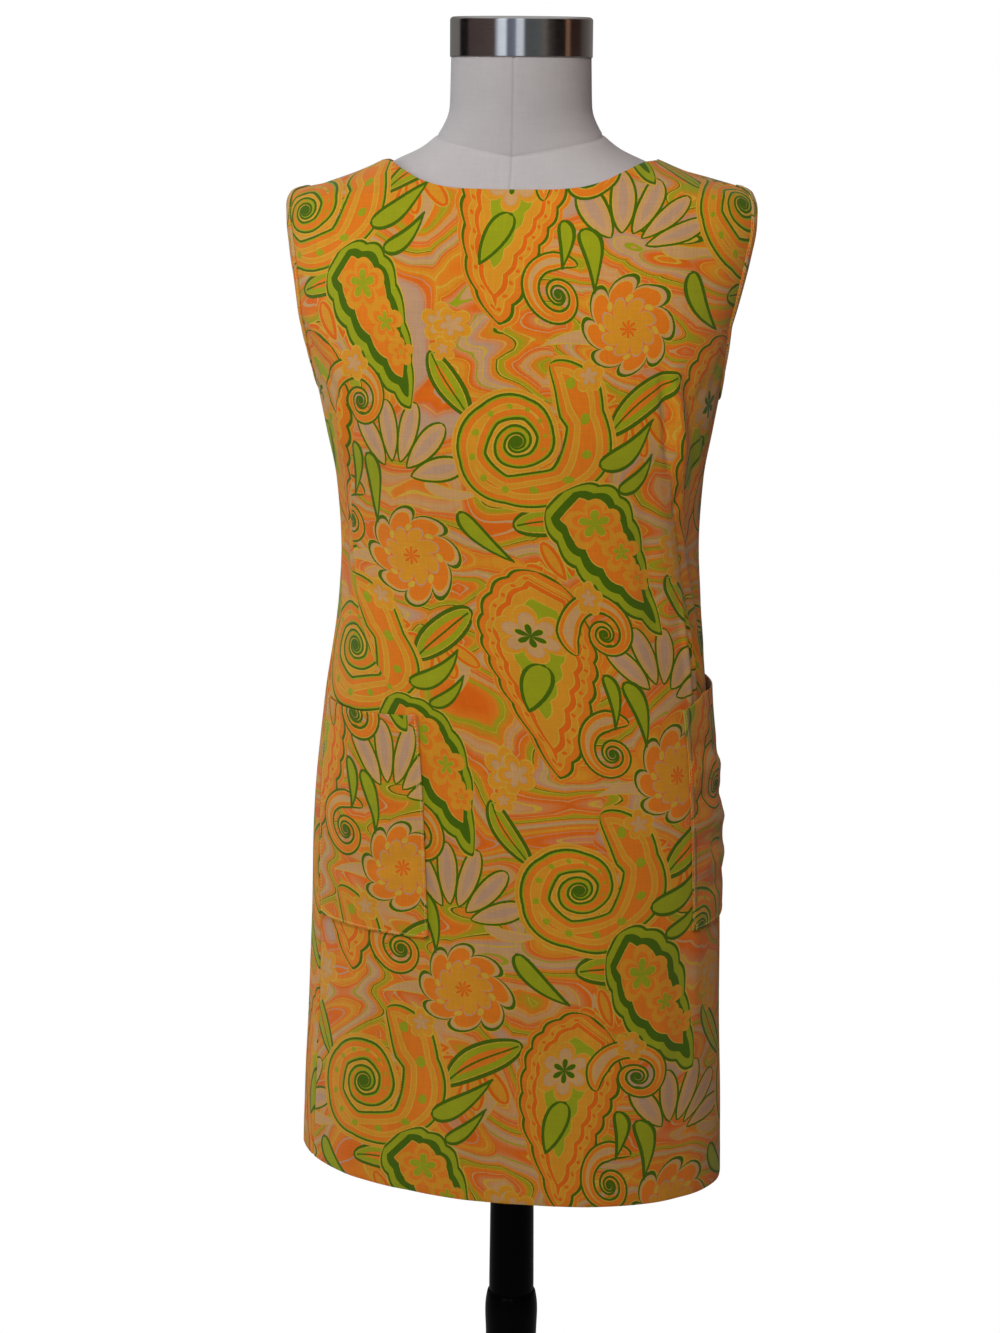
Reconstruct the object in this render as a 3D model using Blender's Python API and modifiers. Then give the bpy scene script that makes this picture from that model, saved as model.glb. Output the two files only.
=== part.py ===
"""A sleeveless shift dress on a limbless dress form and its stand.

Metres, +Z up, the front faces -Y, the origin is under the middle of the base.
The dress is a wall of cloth: a front, two backs with a zip between them, two
patch pockets and a band round each armhole. It hangs on a padded form, which
turns on a flange at the top of a mast, and the mast slides in a tube that
stands on a round iron base.
"""

import bpy
import bmesh
import numpy as np
from math import cos, pi, sin
from mathutils import Matrix, Vector

# ---------------------------------------------------------------- sizes
WALL = 0.0015               # cloth, seam allowance included
SEAM = 0.0003               # between two sewn pieces
LAID_ON = 0.0006            # under a piece that lies on a panel

# The dress, ring by ring from below the hem to above the neck points.
# corner is the exponent of the superellipse: 2 is an ellipse, more is squarer.
# slip is how far the cloth has crept round the figure, towards +X.
RING_COLUMNS = ("height", "half_width", "front", "back", "corner", "slip")
DRESS_RINGS = (
    (0.4500, 0.1925, 0.1270, 0.1270, 2.15, 0.059),
    (0.5450, 0.1905, 0.1275, 0.1280, 2.15, 0.058),
    (0.6430, 0.1873, 0.1285, 0.1300, 2.15, 0.058),
    (0.7380, 0.1847, 0.1295, 0.1325, 2.18, 0.057),
    (0.8300, 0.1817, 0.1295, 0.1340, 2.20, 0.055),
    (0.9230, 0.1716, 0.1280, 0.1310, 2.25, 0.049),
    (1.0150, 0.1600, 0.1250, 0.1220, 2.30, 0.019),
    (1.0700, 0.1572, 0.1255, 0.1160, 2.35, 0.007),
    (1.1250, 0.1602, 0.1290, 0.1150, 2.45, 0.001),
    (1.1700, 0.1682, 0.1325, 0.1165, 2.55, 0.000),
    (1.2100, 0.1762, 0.1320, 0.1190, 2.55, 0.000),
    (1.2500, 0.1862, 0.1265, 0.1200, 2.50, 0.000),
    (1.2900, 0.1960, 0.1170, 0.1170, 2.45, 0.000),
    (1.3200, 0.2020, 0.1070, 0.1100, 2.40, 0.000),
    (1.3430, 0.2048, 0.0970, 0.1020, 2.35, 0.000),
    (1.3580, 0.2035, 0.0895, 0.0950, 2.30, 0.000),
    (1.3700, 0.1965, 0.0830, 0.0890, 2.30, 0.000),
    (1.3810, 0.1675, 0.0770, 0.0835, 2.30, 0.000),
    (1.3900, 0.1420, 0.0725, 0.0795, 2.30, 0.000),
    (1.4050, 0.1065, 0.0665, 0.0735, 2.30, 0.000),
)

# The form inside it: it fills the dress at bust and shoulders only.
FORM_RINGS = (
    (0.6800, 0.1500, 0.1020, 0.1080, 2.20, 0.0),
    (0.6900, 0.1560, 0.1080, 0.1140, 2.20, 0.0),
    (0.7600, 0.1650, 0.1140, 0.1215, 2.20, 0.0),
    (0.8600, 0.1680, 0.1150, 0.1260, 2.20, 0.0),
    (0.9500, 0.1530, 0.1060, 0.1150, 2.20, 0.0),
    (1.0500, 0.1270, 0.0900, 0.0930, 2.20, 0.0),
    (1.1000, 0.1390, 0.1080, 0.0990, 2.30, 0.0),
    (1.1300, 0.1520, 0.1215, 0.1060, 2.40, 0.0),
    (1.1700, 0.1642, 0.1285, 0.1122, 2.55, 0.0),
    (1.2100, 0.1723, 0.1280, 0.1147, 2.55, 0.0),
    (1.2500, 0.1825, 0.1227, 0.1157, 2.50, 0.0),
    (1.2900, 0.1923, 0.1133, 0.1127, 2.45, 0.0),
    (1.3200, 0.1980, 0.1033, 0.1057, 2.40, 0.0),
    (1.3430, 0.2003, 0.0930, 0.0975, 2.35, 0.0),
    (1.3580, 0.1975, 0.0855, 0.0906, 2.30, 0.0),
    (1.3680, 0.1880, 0.0795, 0.0850, 2.30, 0.0),
    (1.3780, 0.1610, 0.0740, 0.0805, 2.30, 0.0),
    (1.3870, 0.1360, 0.0700, 0.0765, 2.30, 0.0),
    (1.4000, 0.1030, 0.0655, 0.0710, 2.25, 0.0),
    (1.4100, 0.0830, 0.0630, 0.0675, 2.10, 0.0),
    (1.4250, 0.0675, 0.0608, 0.0635, 2.00, 0.0),
    (1.4430, 0.0610, 0.0600, 0.0608, 2.00, 0.0),
    (1.4700, 0.0602, 0.0602, 0.0602, 2.00, 0.0),
    (1.5100, 0.0594, 0.0594, 0.0594, 2.00, 0.0),
)
FORM_SIDES = 40

# Edges of the cloth.
HEM = 0.4970                # height of the hem under the axis
HEM_DIP = 0.068             # it drops by this share of x towards +X
UNDERARM = 1.2025
SHOULDER_TIP = 1.3700
NECK_POINT = 1.4000         # where neckline and shoulder seam meet
NECK_WIDTH = 0.1163         # half of the boat neck
FRONT_NECK = 1.3767
BACK_NECK = 1.3890
NECK_CURVE = 3.4            # power by which the neckline rises to its ends
ARMHOLE_FRONT = {1: 0.032, -1: 0.052}   # cut forward of the seam, by side: +1 is +X
ARMHOLE_BACK = 0.040
ARMHOLE_WIDEST = 0.52       # share of its height where that is

# Soft folds pressed into the wall: where each begins and ends (metres round
# the ring from the middle of the front, and height), half breadth and depth.
# The last stands out: the armhole's edge at +X, which flares off the form.
FOLD_COLUMNS = ("top_along", "top", "foot_along", "foot", "breadth", "depth")
FOLDS = (
    (0.130, 1.190, 0.205, 0.930, 0.013, 0.0050),
    (0.172, 1.170, 0.228, 0.960, 0.010, 0.0040),
    (-0.175, 1.150, -0.190, 0.960, 0.014, 0.0030),
    (0.330, 1.120, 0.345, 0.700, 0.020, 0.0045),
    (-0.330, 1.100, -0.300, 0.640, 0.022, 0.0045),
    (0.430, 1.080, 0.440, 0.560, 0.020, 0.0040),
    (0.060, 0.800, 0.075, 0.480, 0.026, 0.0025),
    (0.234, 1.410, 0.226, 1.262, 0.026, -0.0045),
)

# Rows and columns of the panels' faces.
SKIRT_ROWS = 17
ARMHOLE_ROWS = 10
YOKE_ROWS = 4
FRONT_COLUMNS = 30
BACK_COLUMNS = 15

# Patch pockets, measured from the middle of the front, round the cloth.
POCKET_INNER = 0.1200
POCKET_SIDE = 0.007         # how far its outer edge stops before the side seam
POCKET_TOP = 0.934
POCKET_FOOT = 0.738
POCKET_SWELL = {1: 0.0058, -1: 0.0050}   # how far it stands off the front, by side
POCKET_COLUMNS = 8
POCKET_ROWS = 8

BAND_WIDTH = 0.0075         # bound edge of an armhole
BAND_WALL = 0.0010

# The centre back zip.
ZIP_FOOT = 0.890
ZIP_TAPE = 0.022
ZIP_TAPE_WALL = 0.0007
ZIP_TAPE_GAP = 0.0009       # behind the cloth
SLIDER_HEIGHT = 1.3775
SLIDER_SIZE = Vector((0.0046, 0.0024, 0.0090))
SLIDER_ROOM = 0.0029        # half the gap that the edges leave it
PULL_SIZE = Vector((0.0050, 0.0010, 0.0240))
PULL_WINDOW = Vector((0.0030, 0.0, 0.0044))
PULL_HINGE = Vector((0.0, 0.0026, 0.0011))
BRIDGE_BAR = 0.0008
BRIDGE_REACH = 0.0056
BRIDGE_RISE = 0.0032
BRIDGE_WIDTH = 0.0014

# Neck cap and stand.
CAP_RADIUS = 0.0616
CAP_WALL = 0.0012
CAP_FOOT = 1.4844
CAP_TOP = 1.5180
CAP_ROUND = 0.0030
MAST_RADIUS = 0.0215
MAST_FOOT = 0.100
FLANGE_RADIUS = 0.055
FLANGE_WALL = 0.006
TUBE_RADIUS = 0.0248
TUBE_TOP = 0.361
BASE_RADIUS = 0.215
BASE_RIM = 0.008
BASE_HUB_RADIUS = 0.042
BASE_HUB_TOP = 0.060
TURNED_SIDES = 32


# ---------------------------------------------------------------- curves
def columns(names, rows):
    """A table's columns by name."""
    return dict(zip(names, np.array(rows, float).T))


def smooth(x, xs, ys):
    """The monotone cubic through the points (xs, ys), read at x."""
    step = np.diff(xs)
    rise = np.diff(ys) / step
    slope = np.zeros(len(xs))
    slope[0], slope[-1] = rise[0], rise[-1]
    same = rise[:-1] * rise[1:] > 0
    before, after = np.where(same, rise[:-1], 1.0), np.where(same, rise[1:], 1.0)
    near, far = 2 * step[1:] + step[:-1], step[1:] + 2 * step[:-1]
    slope[1:-1] = np.where(same, (near + far) / (near / before + far / after), 0.0)
    k = np.clip(np.searchsorted(xs, x) - 1, 0, len(step) - 1)
    t = np.clip((x - xs[k]) / step[k], 0.0, 1.0)
    start = (1 + 2 * t) * (1 - t) ** 2 * ys[k] + t * (1 - t) ** 2 * step[k] * slope[k]
    end = t * t * (3 - 2 * t) * ys[k + 1] - t * t * (1 - t) * step[k] * slope[k + 1]
    return start + end


DRESS = columns(RING_COLUMNS, DRESS_RINGS)
FORM = columns(RING_COLUMNS, FORM_RINGS)
FOLD = columns(FOLD_COLUMNS, FOLDS)
ANGLES = np.linspace(0.0, pi, 121)


def read(rings, name, height):
    return smooth(np.asarray(height, float), rings["height"], rings[name])


def ring_radius(rings, angle, height):
    """Distance from the ring's centre at an angle from the middle of the front."""
    depth = np.where(np.cos(angle) > 0, read(rings, "front", height), read(rings, "back", height))
    power = read(rings, "corner", height)
    across = np.abs(np.sin(angle)) / read(rings, "half_width", height)
    along = np.abs(np.cos(angle)) / depth
    return (across ** power + along ** power) ** (-1 / power)


def half_ring(rings, height):
    """Lengths along half a ring, front to back, at ANGLES, for each height."""
    radius = ring_radius(rings, ANGLES[None, :], np.asarray(height, float)[:, None])
    x, y = radius * np.sin(ANGLES), -radius * np.cos(ANGLES)
    steps = np.hypot(np.diff(x, axis=1), np.diff(y, axis=1))
    return np.concatenate([np.zeros((len(radius), 1)), np.cumsum(steps, axis=1)], axis=1)


def quarter(height, rings=DRESS):
    """Length of a ring from the middle of the front to the side."""
    height = np.atleast_1d(np.asarray(height, float))
    middle = len(ANGLES) // 2
    return half_ring(rings, height.ravel())[:, middle].reshape(height.shape)


def girth(height, rings=DRESS):
    """Length of half a ring, from the middle of the front to that of the back."""
    height = np.atleast_1d(np.asarray(height, float))
    return half_ring(rings, height.ravel())[:, -1].reshape(height.shape)


def on_rings(rings, along, height):
    """Points at a length round the ring from the middle of its front, at a height."""
    along, height = np.broadcast_arrays(np.asarray(along, float), np.asarray(height, float))
    flat_along, flat_height = along.ravel(), height.ravel()
    lengths = half_ring(rings, flat_height)
    whole = 2 * lengths[:, -1]
    wrapped = (flat_along + whole / 2) % whole - whole / 2
    angle = np.array([np.interp(abs(a), row, ANGLES) for a, row in zip(wrapped, lengths)])
    angle = np.copysign(angle, wrapped)
    radius = ring_radius(rings, angle, flat_height)
    points = np.stack([radius * np.sin(angle), -radius * np.cos(angle), flat_height], axis=-1)
    return points.reshape(along.shape + (3,))


def fold_depth(along, height):
    """How far the folds press the cloth in."""
    depth = np.zeros(np.broadcast(along, height).shape)
    whole = 2 * girth(height)
    for k in range(len(FOLDS)):
        top, foot = FOLD["top"][k], FOLD["foot"][k]
        share = np.clip((top - height) / (top - foot), 0.0, 1.0)
        centre = FOLD["top_along"][k] + share * (FOLD["foot_along"][k] - FOLD["top_along"][k])
        away = (along - centre + whole / 2) % whole - whole / 2
        swell = np.sin(pi * share) ** 0.8
        depth += FOLD["depth"][k] * swell * np.exp(-((away / FOLD["breadth"][k]) ** 2))
    return depth


def cloth_normals(along, height):
    """Outward directions of the unfolded dress."""
    step = 0.0004
    round_it = on_rings(DRESS, along + step, height) - on_rings(DRESS, along - step, height)
    upward = on_rings(DRESS, along, height + step) - on_rings(DRESS, along, height - step)
    normal = np.cross(round_it, upward)
    return normal / np.linalg.norm(normal, axis=-1, keepdims=True)


def cloth(along, height, out=0.0):
    """Points of the dress's outer face, moved out by a distance."""
    along, height = np.broadcast_arrays(np.asarray(along, float), np.asarray(height, float))
    normal = cloth_normals(along, height)
    offset = np.asarray(out, float) - fold_depth(along, height)
    return on_rings(DRESS, along, height) + normal * offset[..., None]


def slip(height):
    return read(DRESS, "slip", height)


# ---------------------------------------------------------------- edges
def armhole_reach(height, cut):
    """How far an armhole's edge stands off the seam line at a height."""
    share = (height - UNDERARM) / (SHOULDER_TIP - UNDERARM)
    low = (ARMHOLE_WIDEST - share) / ARMHOLE_WIDEST
    high = (share - ARMHOLE_WIDEST) / (1 - ARMHOLE_WIDEST)
    away = np.clip(np.where(share < ARMHOLE_WIDEST, low, high), 0.0, 1.0)
    inside = (share > 0) & (share < 1)
    return np.where(inside, cut * np.sqrt(1 - away ** 2), 0.0)


def neckline(x, centre_height):
    """Height of the neckline at a distance from the middle."""
    rise = np.minimum(np.abs(x) / NECK_WIDTH, 1.0) ** NECK_CURVE
    return centre_height + (NECK_POINT - centre_height) * rise


def neck_heights(share, edge, start, centre_height):
    """Where each column of a panel meets the neckline.

    A column runs at a fixed share of the way from start to edge, both of them
    functions of the height.
    """
    heights = np.linspace(centre_height - 0.004, NECK_POINT, 40)
    first, last = start(heights), edge(heights)
    tops = []
    for part in share:
        x = on_rings(DRESS, first + part * (last - first), heights)[:, 0]
        over = heights - neckline(x, centre_height)
        tops.append(np.interp(0.0, np.maximum.accumulate(over), heights))
    return np.array(tops)


def row_heights(along_hem, tops):
    """Heights of a panel's points, a row from the hem for each entry."""
    hem_x = on_rings(DRESS, along_hem, np.full(len(along_hem), HEM))[:, 0]
    foot = HEM - HEM_DIP * hem_x
    rows = [foot + (UNDERARM - foot) * k / SKIRT_ROWS for k in range(SKIRT_ROWS)]
    for k in range(ARMHOLE_ROWS):
        share = (1 - cos(pi * k / ARMHOLE_ROWS)) / 2
        rows.append(np.full(len(tops), UNDERARM + share * (SHOULDER_TIP - UNDERARM)))
    for k in range(YOKE_ROWS + 1):
        rows.append(SHOULDER_TIP + (tops - SHOULDER_TIP) * k / YOKE_ROWS)
    return np.array(rows)


def zip_gap(height):
    """Half the gap between the two backs: just a seam, wider at the slider."""
    share = np.clip((height - SHOULDER_TIP + 0.004) / 0.004, 0.0, 1.0)
    return SEAM / 2 + (SLIDER_ROOM - SEAM / 2) * share * share * (3 - 2 * share)


def front_edge(side):
    """The front's edge on one side, +1 or -1, as a function of the height."""
    def edge(height):
        inset = np.maximum(armhole_reach(height, ARMHOLE_FRONT[side]), SEAM / 2)
        return slip(height) + side * (quarter(height) - inset)
    return edge


def back_edge(side):
    """The side edge of the back on one side."""
    def edge(height):
        inset = np.maximum(armhole_reach(height, ARMHOLE_BACK), SEAM / 2)
        return slip(height) + side * (quarter(height) + inset)
    return edge


def back_middle(side):
    """The zip edge of the back on one side."""
    def edge(height):
        return slip(height) + side * (girth(height) - zip_gap(height))
    return edge


# ---------------------------------------------------------------- meshes
def remove_everything():
    for thing in list(bpy.data.objects):
        bpy.data.objects.remove(thing, do_unlink=True)


def finish(name, colour, roughness, metallic=0.0):
    material = bpy.data.materials.new(name)
    material.use_nodes = True
    shader = material.node_tree.nodes["Principled BSDF"]
    shader.inputs["Base Color"].default_value = (*colour, 1.0)
    shader.inputs["Roughness"].default_value = roughness
    shader.inputs["Metallic"].default_value = metallic
    material.diffuse_color = (*colour, 1.0)
    return material


def add_object(name, mesh, material):
    thing = bpy.data.objects.new(name, mesh)
    COLLECTION.objects.link(thing)
    mesh.materials.append(material)
    return thing


def mesh_from(name, vertices, faces):
    mesh = bpy.data.meshes.new(name)
    mesh.from_pydata([tuple(v) for v in vertices], [], faces)
    mesh.update()
    mesh.shade_smooth()
    mesh.set_sharp_from_angle(angle=pi / 4)
    return mesh


def wall(name, outer, inner, material, closed=False):
    """A closed wall between two grids of points, rows by columns.

    Columns run towards +X on the front and rows upwards, so the outer faces
    look out. A closed wall joins its last row to its first.
    """
    rows, across = outer.shape[:2]
    back = rows * across
    faces = []
    spans = rows if closed else rows - 1
    for r in range(spans):
        up = (r + 1) % rows
        for c in range(across - 1):
            a, b = r * across + c, r * across + c + 1
            d, e = up * across + c, up * across + c + 1
            faces.append((a, b, e, d))
            faces.append((back + d, back + e, back + b, back + a))
        first, first_up = r * across, up * across
        last, last_up = first + across - 1, first_up + across - 1
        faces.append((first_up, back + first_up, back + first, first))
        faces.append((last, back + last, back + last_up, last_up))
    if not closed:
        top = (rows - 1) * across
        for c in range(across - 1):
            faces.append((c, back + c, back + c + 1, c + 1))
            faces.append((top + c + 1, back + top + c + 1, back + top + c, top + c))
    vertices = np.concatenate([outer.reshape(-1, 3), inner.reshape(-1, 3)])
    return add_object(name, mesh_from(name, vertices, faces), material)


def panel(name, start, edge, column_count, centre_height, material):
    """A panel of the dress between two edges that are functions of the height."""
    share = np.linspace(0.0, 1.0, column_count + 1)
    tops = neck_heights(share, edge, start, centre_height)
    hem = np.full(len(share), HEM)
    heights = row_heights(start(hem) + share * (edge(hem) - start(hem)), tops)
    first, last = start(heights), edge(heights)
    along = first + share * (last - first)
    return wall(name, cloth(along, heights), cloth(along, heights, -WALL), material)


def pocket(name, side, material):
    """A patch pocket on the front, sewn at the sides and foot and open at the top."""
    across = np.linspace(0.0, 1.0, POCKET_COLUMNS + 1)
    if side < 0:
        across = across[::-1]
    up = np.linspace(0.0, 1.0, POCKET_ROWS + 1)
    share, rise = np.meshgrid(across, up)
    height = POCKET_FOOT + (POCKET_TOP - POCKET_FOOT) * rise
    outer_edge = quarter(height) - POCKET_SIDE
    along = slip(height) + side * (POCKET_INNER + share * (outer_edge - POCKET_INNER))
    swell = POCKET_SWELL[side] * np.sqrt(rise) * (1 - 0.6 * rise ** 2)
    out = LAID_ON + swell * np.sin(pi * share) ** 0.7
    return wall(name, cloth(along, height, out + WALL), cloth(along, height, out), material)


def armhole_loop(side):
    """The armhole's edge, up its front and down its back, as along and height."""
    shares = [(1 - cos(pi * k / ARMHOLE_ROWS)) / 2 for k in range(ARMHOLE_ROWS + 1)]
    rising = UNDERARM + (SHOULDER_TIP - UNDERARM) * np.array(shares)
    falling = rising[1:-1][::-1]
    height = np.concatenate([rising, falling])
    along = np.concatenate([
        quarter(rising) - armhole_reach(rising, ARMHOLE_FRONT[side]),
        quarter(falling) + armhole_reach(falling, ARMHOLE_BACK),
    ])
    return side * along, height


def finer_loop(along, height, times=3):
    """More points on a closed loop, on a smooth curve through it."""
    count = len(along)
    fine = []
    for k in range(count):
        around = [np.array((along[(k + j) % count], height[(k + j) % count])) for j in (-1, 0, 1, 2)]
        for step in range(times):
            t = step / times
            fine.append(0.5 * (2 * around[1] + (around[2] - around[0]) * t
                               + (2 * around[0] - 5 * around[1] + 4 * around[2] - around[3]) * t ** 2
                               + (3 * around[1] - around[0] - 3 * around[2] + around[3]) * t ** 3))
    return np.array(fine).T


def armhole_band(name, side, material):
    """The narrow band sewn round an armhole, on the outside of the panels."""
    along, height = finer_loop(*armhole_loop(side), times=2)
    edge = cloth(along, height)
    ahead = np.roll(edge, -1, axis=0) - np.roll(edge, 1, axis=0)
    ahead /= np.linalg.norm(ahead, axis=1, keepdims=True)
    away = np.cross(cloth_normals(along, height), ahead) * side
    step = 0.0004
    per_along = (on_rings(DRESS, along + step, height) - on_rings(DRESS, along, height)) / step
    per_height = (on_rings(DRESS, along, height + step) - on_rings(DRESS, along, height)) / step
    moves = []
    for a, h, move in zip(per_along, per_height, away):
        solved = np.linalg.lstsq(np.stack([a, h], axis=1), move, rcond=None)
        moves.append(solved[0])
    moves = np.array(moves)
    widths = np.linspace(0.0, BAND_WIDTH, 4)
    grid_along = along[:, None] + moves[:, :1] * widths
    grid_height = height[:, None] + moves[:, 1:] * widths
    if side > 0:
        grid_along, grid_height = grid_along[:, ::-1], grid_height[:, ::-1]
    outer = cloth(grid_along, grid_height, LAID_ON + BAND_WALL)
    inner = cloth(grid_along, grid_height, LAID_ON)
    return wall(name, outer, inner, material, closed=True)


def loft(name, rings, heights, sides, material):
    """A solid through whole rings, capped flat at both ends."""
    corners = []
    for height in heights:
        length = 2 * girth(height, rings)[0]
        along = length * np.arange(sides) / sides
        corners.append(on_rings(rings, along, np.full(sides, height)))
    faces = [tuple(reversed(range(sides)))]
    for r in range(len(heights) - 1):
        for k in range(sides):
            after = (k + 1) % sides
            low, high = r * sides, (r + 1) * sides
            faces.append((low + k, low + after, high + after, high + k))
    faces.append(tuple(range((len(heights) - 1) * sides, len(heights) * sides)))
    return add_object(name, mesh_from(name, np.concatenate(corners), faces), material)


def turned(name, profile, material, sides=TURNED_SIDES):
    """A turned solid from its profile, a loop of (radius, height) down its outer side."""
    mesh = bpy.data.meshes.new(name)
    count = len(profile)
    links = [(k, (k + 1) % count) for k in range(count)]
    links = [link for link in links if profile[link[0]][0] > 0 or profile[link[1]][0] > 0]
    mesh.from_pydata([(r, 0.0, z) for r, z in profile], links, [])
    thing = add_object(name, mesh, material)
    screw = thing.modifiers.new("turn", "SCREW")
    screw.steps = sides
    screw.render_steps = sides
    screw.use_merge_vertices = True
    screw.merge_threshold = 0.00001
    screw.use_smooth_shade = True
    return thing


def rounded(radius, height, blend, steps=4):
    """Points of a rounded upper corner on a turned profile, from inside out and down."""
    points = []
    for k in range(steps + 1):
        angle = pi / 2 * k / steps
        points.append((radius - blend * (1 - sin(angle)), height - blend * (1 - cos(angle))))
    return points


# ---------------------------------------------------------------- the zip
def zip_frame():
    """The slider's place on the cloth, and the turn to its axes: across, out and up."""
    along, height = slip(SLIDER_HEIGHT) + girth(SLIDER_HEIGHT), np.array([SLIDER_HEIGHT])
    place = Vector(on_rings(DRESS, along, height)[0])
    out = Vector(cloth_normals(along, height)[0]).normalized()
    across = out.cross(Vector((0, 0, 1))).normalized()
    up = across.cross(out).normalized()
    return place, Matrix((across, out, up)).transposed()


def plate(bm, outline, thick, axis):
    """An outline's faces raised by a thickness along an axis, half to each side."""
    raised = bmesh.ops.extrude_face_region(bm, geom=outline)
    moved = [v for v in raised["geom"] if isinstance(v, bmesh.types.BMVert)]
    bmesh.ops.translate(bm, vec=Vector(axis) * thick, verts=moved)
    bmesh.ops.translate(bm, vec=Vector(axis) * -thick / 2, verts=bm.verts)
    bmesh.ops.recalc_face_normals(bm, faces=bm.faces)


def finished(bm, name, material, place, turn):
    """An object from a mesh made about its own origin."""
    mesh = bpy.data.meshes.new(name)
    bm.to_mesh(mesh)
    bm.free()
    thing = add_object(name, mesh, material)
    thing.matrix_world = Matrix.Translation(place) @ turn.to_4x4()
    return thing


def zip_tape(material):
    """The tape behind the two edges at the back."""
    height = np.linspace(ZIP_FOOT, BACK_NECK - 0.004, 22)[:, None]
    offset = np.array([-0.5, -0.17, 0.17, 0.5]) * ZIP_TAPE
    along = slip(height) + girth(height) + offset
    near = cloth(along, height, -WALL - ZIP_TAPE_GAP)
    far = cloth(along, height, -WALL - ZIP_TAPE_GAP - ZIP_TAPE_WALL)
    wall("zip_tape", near, far, material)


def zip_slider(material):
    """The slider: its body fills the gap between the two edges, its bridge stands outside."""
    place, turn = zip_frame()
    bm = bmesh.new()
    body = bmesh.ops.create_cube(bm, size=1.0)
    bmesh.ops.scale(bm, vec=SLIDER_SIZE, verts=body["verts"])
    slider = finished(bm, "zip_slider", material, place, turn)
    foot, half, bar = SLIDER_SIZE.y / 4, BRIDGE_REACH / 2, BRIDGE_BAR
    top = SLIDER_SIZE.y / 2 + BRIDGE_RISE
    outline = [(foot, -half), (top, -half), (top, half), (foot, half)]
    outline += [(foot, half - bar), (top - bar, half - bar), (top - bar, bar - half), (foot, bar - half)]
    bm = bmesh.new()
    face = bm.faces.new([bm.verts.new((0.0, y, z)) for y, z in outline])
    plate(bm, [face], BRIDGE_WIDTH, (1, 0, 0))
    bridge = finished(bm, "zip_slider_bridge", material, place, turn)
    bridge.hide_render = True
    bridge.display_type = "WIRE"
    joined = slider.modifiers.new("bridge", "BOOLEAN")
    joined.operation = "UNION"
    joined.object = bridge


def zip_pull(material):
    """The pull tab, hung by the rail above its window inside the slider's bridge."""
    place, turn = zip_frame()
    half, hole = PULL_SIZE.x / 2, PULL_WINDOW.x / 2
    rail = half - hole
    xs = (-half, -hole, hole, half)
    zs = (rail / 2 - PULL_SIZE.z, -rail / 2 - PULL_WINDOW.z, -rail / 2, rail / 2)
    bm = bmesh.new()
    grid = [[bm.verts.new((x, 0.0, z)) for x in xs] for z in zs]
    flat = [
        bm.faces.new((grid[r][c], grid[r][c + 1], grid[r + 1][c + 1], grid[r + 1][c]))
        for r in range(3) for c in range(3) if (r, c) != (1, 1)
    ]
    plate(bm, flat, PULL_SIZE.y, (0, 1, 0))
    finished(bm, "zip_pull", material, place + turn @ PULL_HINGE, turn)


# ---------------------------------------------------------------- form and stand
def neck_cap(material):
    """The metal cap: a cup turned over the top of the neck."""
    inner = CAP_RADIUS - CAP_WALL
    profile = [(0.0, CAP_TOP)]
    profile += rounded(CAP_RADIUS, CAP_TOP, CAP_ROUND)
    profile += [
        (CAP_RADIUS, CAP_FOOT + 0.0008),
        (CAP_RADIUS - 0.0005, CAP_FOOT),
        (inner, CAP_FOOT),
        (inner, CAP_TOP - CAP_WALL - 0.002),
        (inner - 0.002, CAP_TOP - CAP_WALL),
        (0.0, CAP_TOP - CAP_WALL),
    ]
    turned("neck_cap", profile, material, sides=48)


def stand(metal, iron):
    """The mast with the flange that carries the form, its tube, and the base."""
    under_form = FORM["height"][0] - SEAM
    fit = MAST_RADIUS + SEAM
    turned("mast", [
        (0.0, under_form),
        (FLANGE_RADIUS - 0.001, under_form),
        (FLANGE_RADIUS, under_form - 0.001),
        (FLANGE_RADIUS, under_form - FLANGE_WALL),
        (MAST_RADIUS + 0.006, under_form - FLANGE_WALL - 0.002),
        (MAST_RADIUS, under_form - FLANGE_WALL - 0.030),
        (MAST_RADIUS, MAST_FOOT),
        (0.0, MAST_FOOT),
    ], metal)
    tube_foot = BASE_RIM + SEAM
    corner = rounded(TUBE_RADIUS, TUBE_TOP, TUBE_RADIUS - fit - 0.0004)
    turned("outer_tube", [(fit, TUBE_TOP), *corner, (TUBE_RADIUS, tube_foot), (fit, tube_foot)], metal)
    socket = TUBE_RADIUS + SEAM
    turned("base_plate", [
        (socket, BASE_HUB_TOP),
        (BASE_HUB_RADIUS - 0.012, BASE_HUB_TOP),
        (BASE_HUB_RADIUS - 0.008, BASE_HUB_TOP - 0.004),
        (BASE_HUB_RADIUS, BASE_RIM + 0.018),
        (BASE_HUB_RADIUS + 0.020, BASE_RIM + 0.003),
        (BASE_RADIUS - 0.004, BASE_RIM),
        (BASE_RADIUS, BASE_RIM - 0.004),
        (BASE_RADIUS, 0.0),
        (0.0, 0.0),
        (0.0, BASE_RIM),
        (socket, BASE_RIM),
    ], iron, sides=2 * TURNED_SIDES)


def form(linen):
    """The padded torso and neck, whole and smooth."""
    heights = np.concatenate([
        FORM["height"][:2],
        np.linspace(0.72, 1.15, 11),
        np.linspace(1.18, 1.32, 6),
        FORM["height"][13:],
    ])
    loft("form_torso", FORM, heights, FORM_SIDES, linen)


# ---------------------------------------------------------------- build
remove_everything()
COLLECTION = bpy.data.collections.new("shift_dress_on_a_dress_form")
bpy.context.scene.collection.children.link(COLLECTION)

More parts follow.
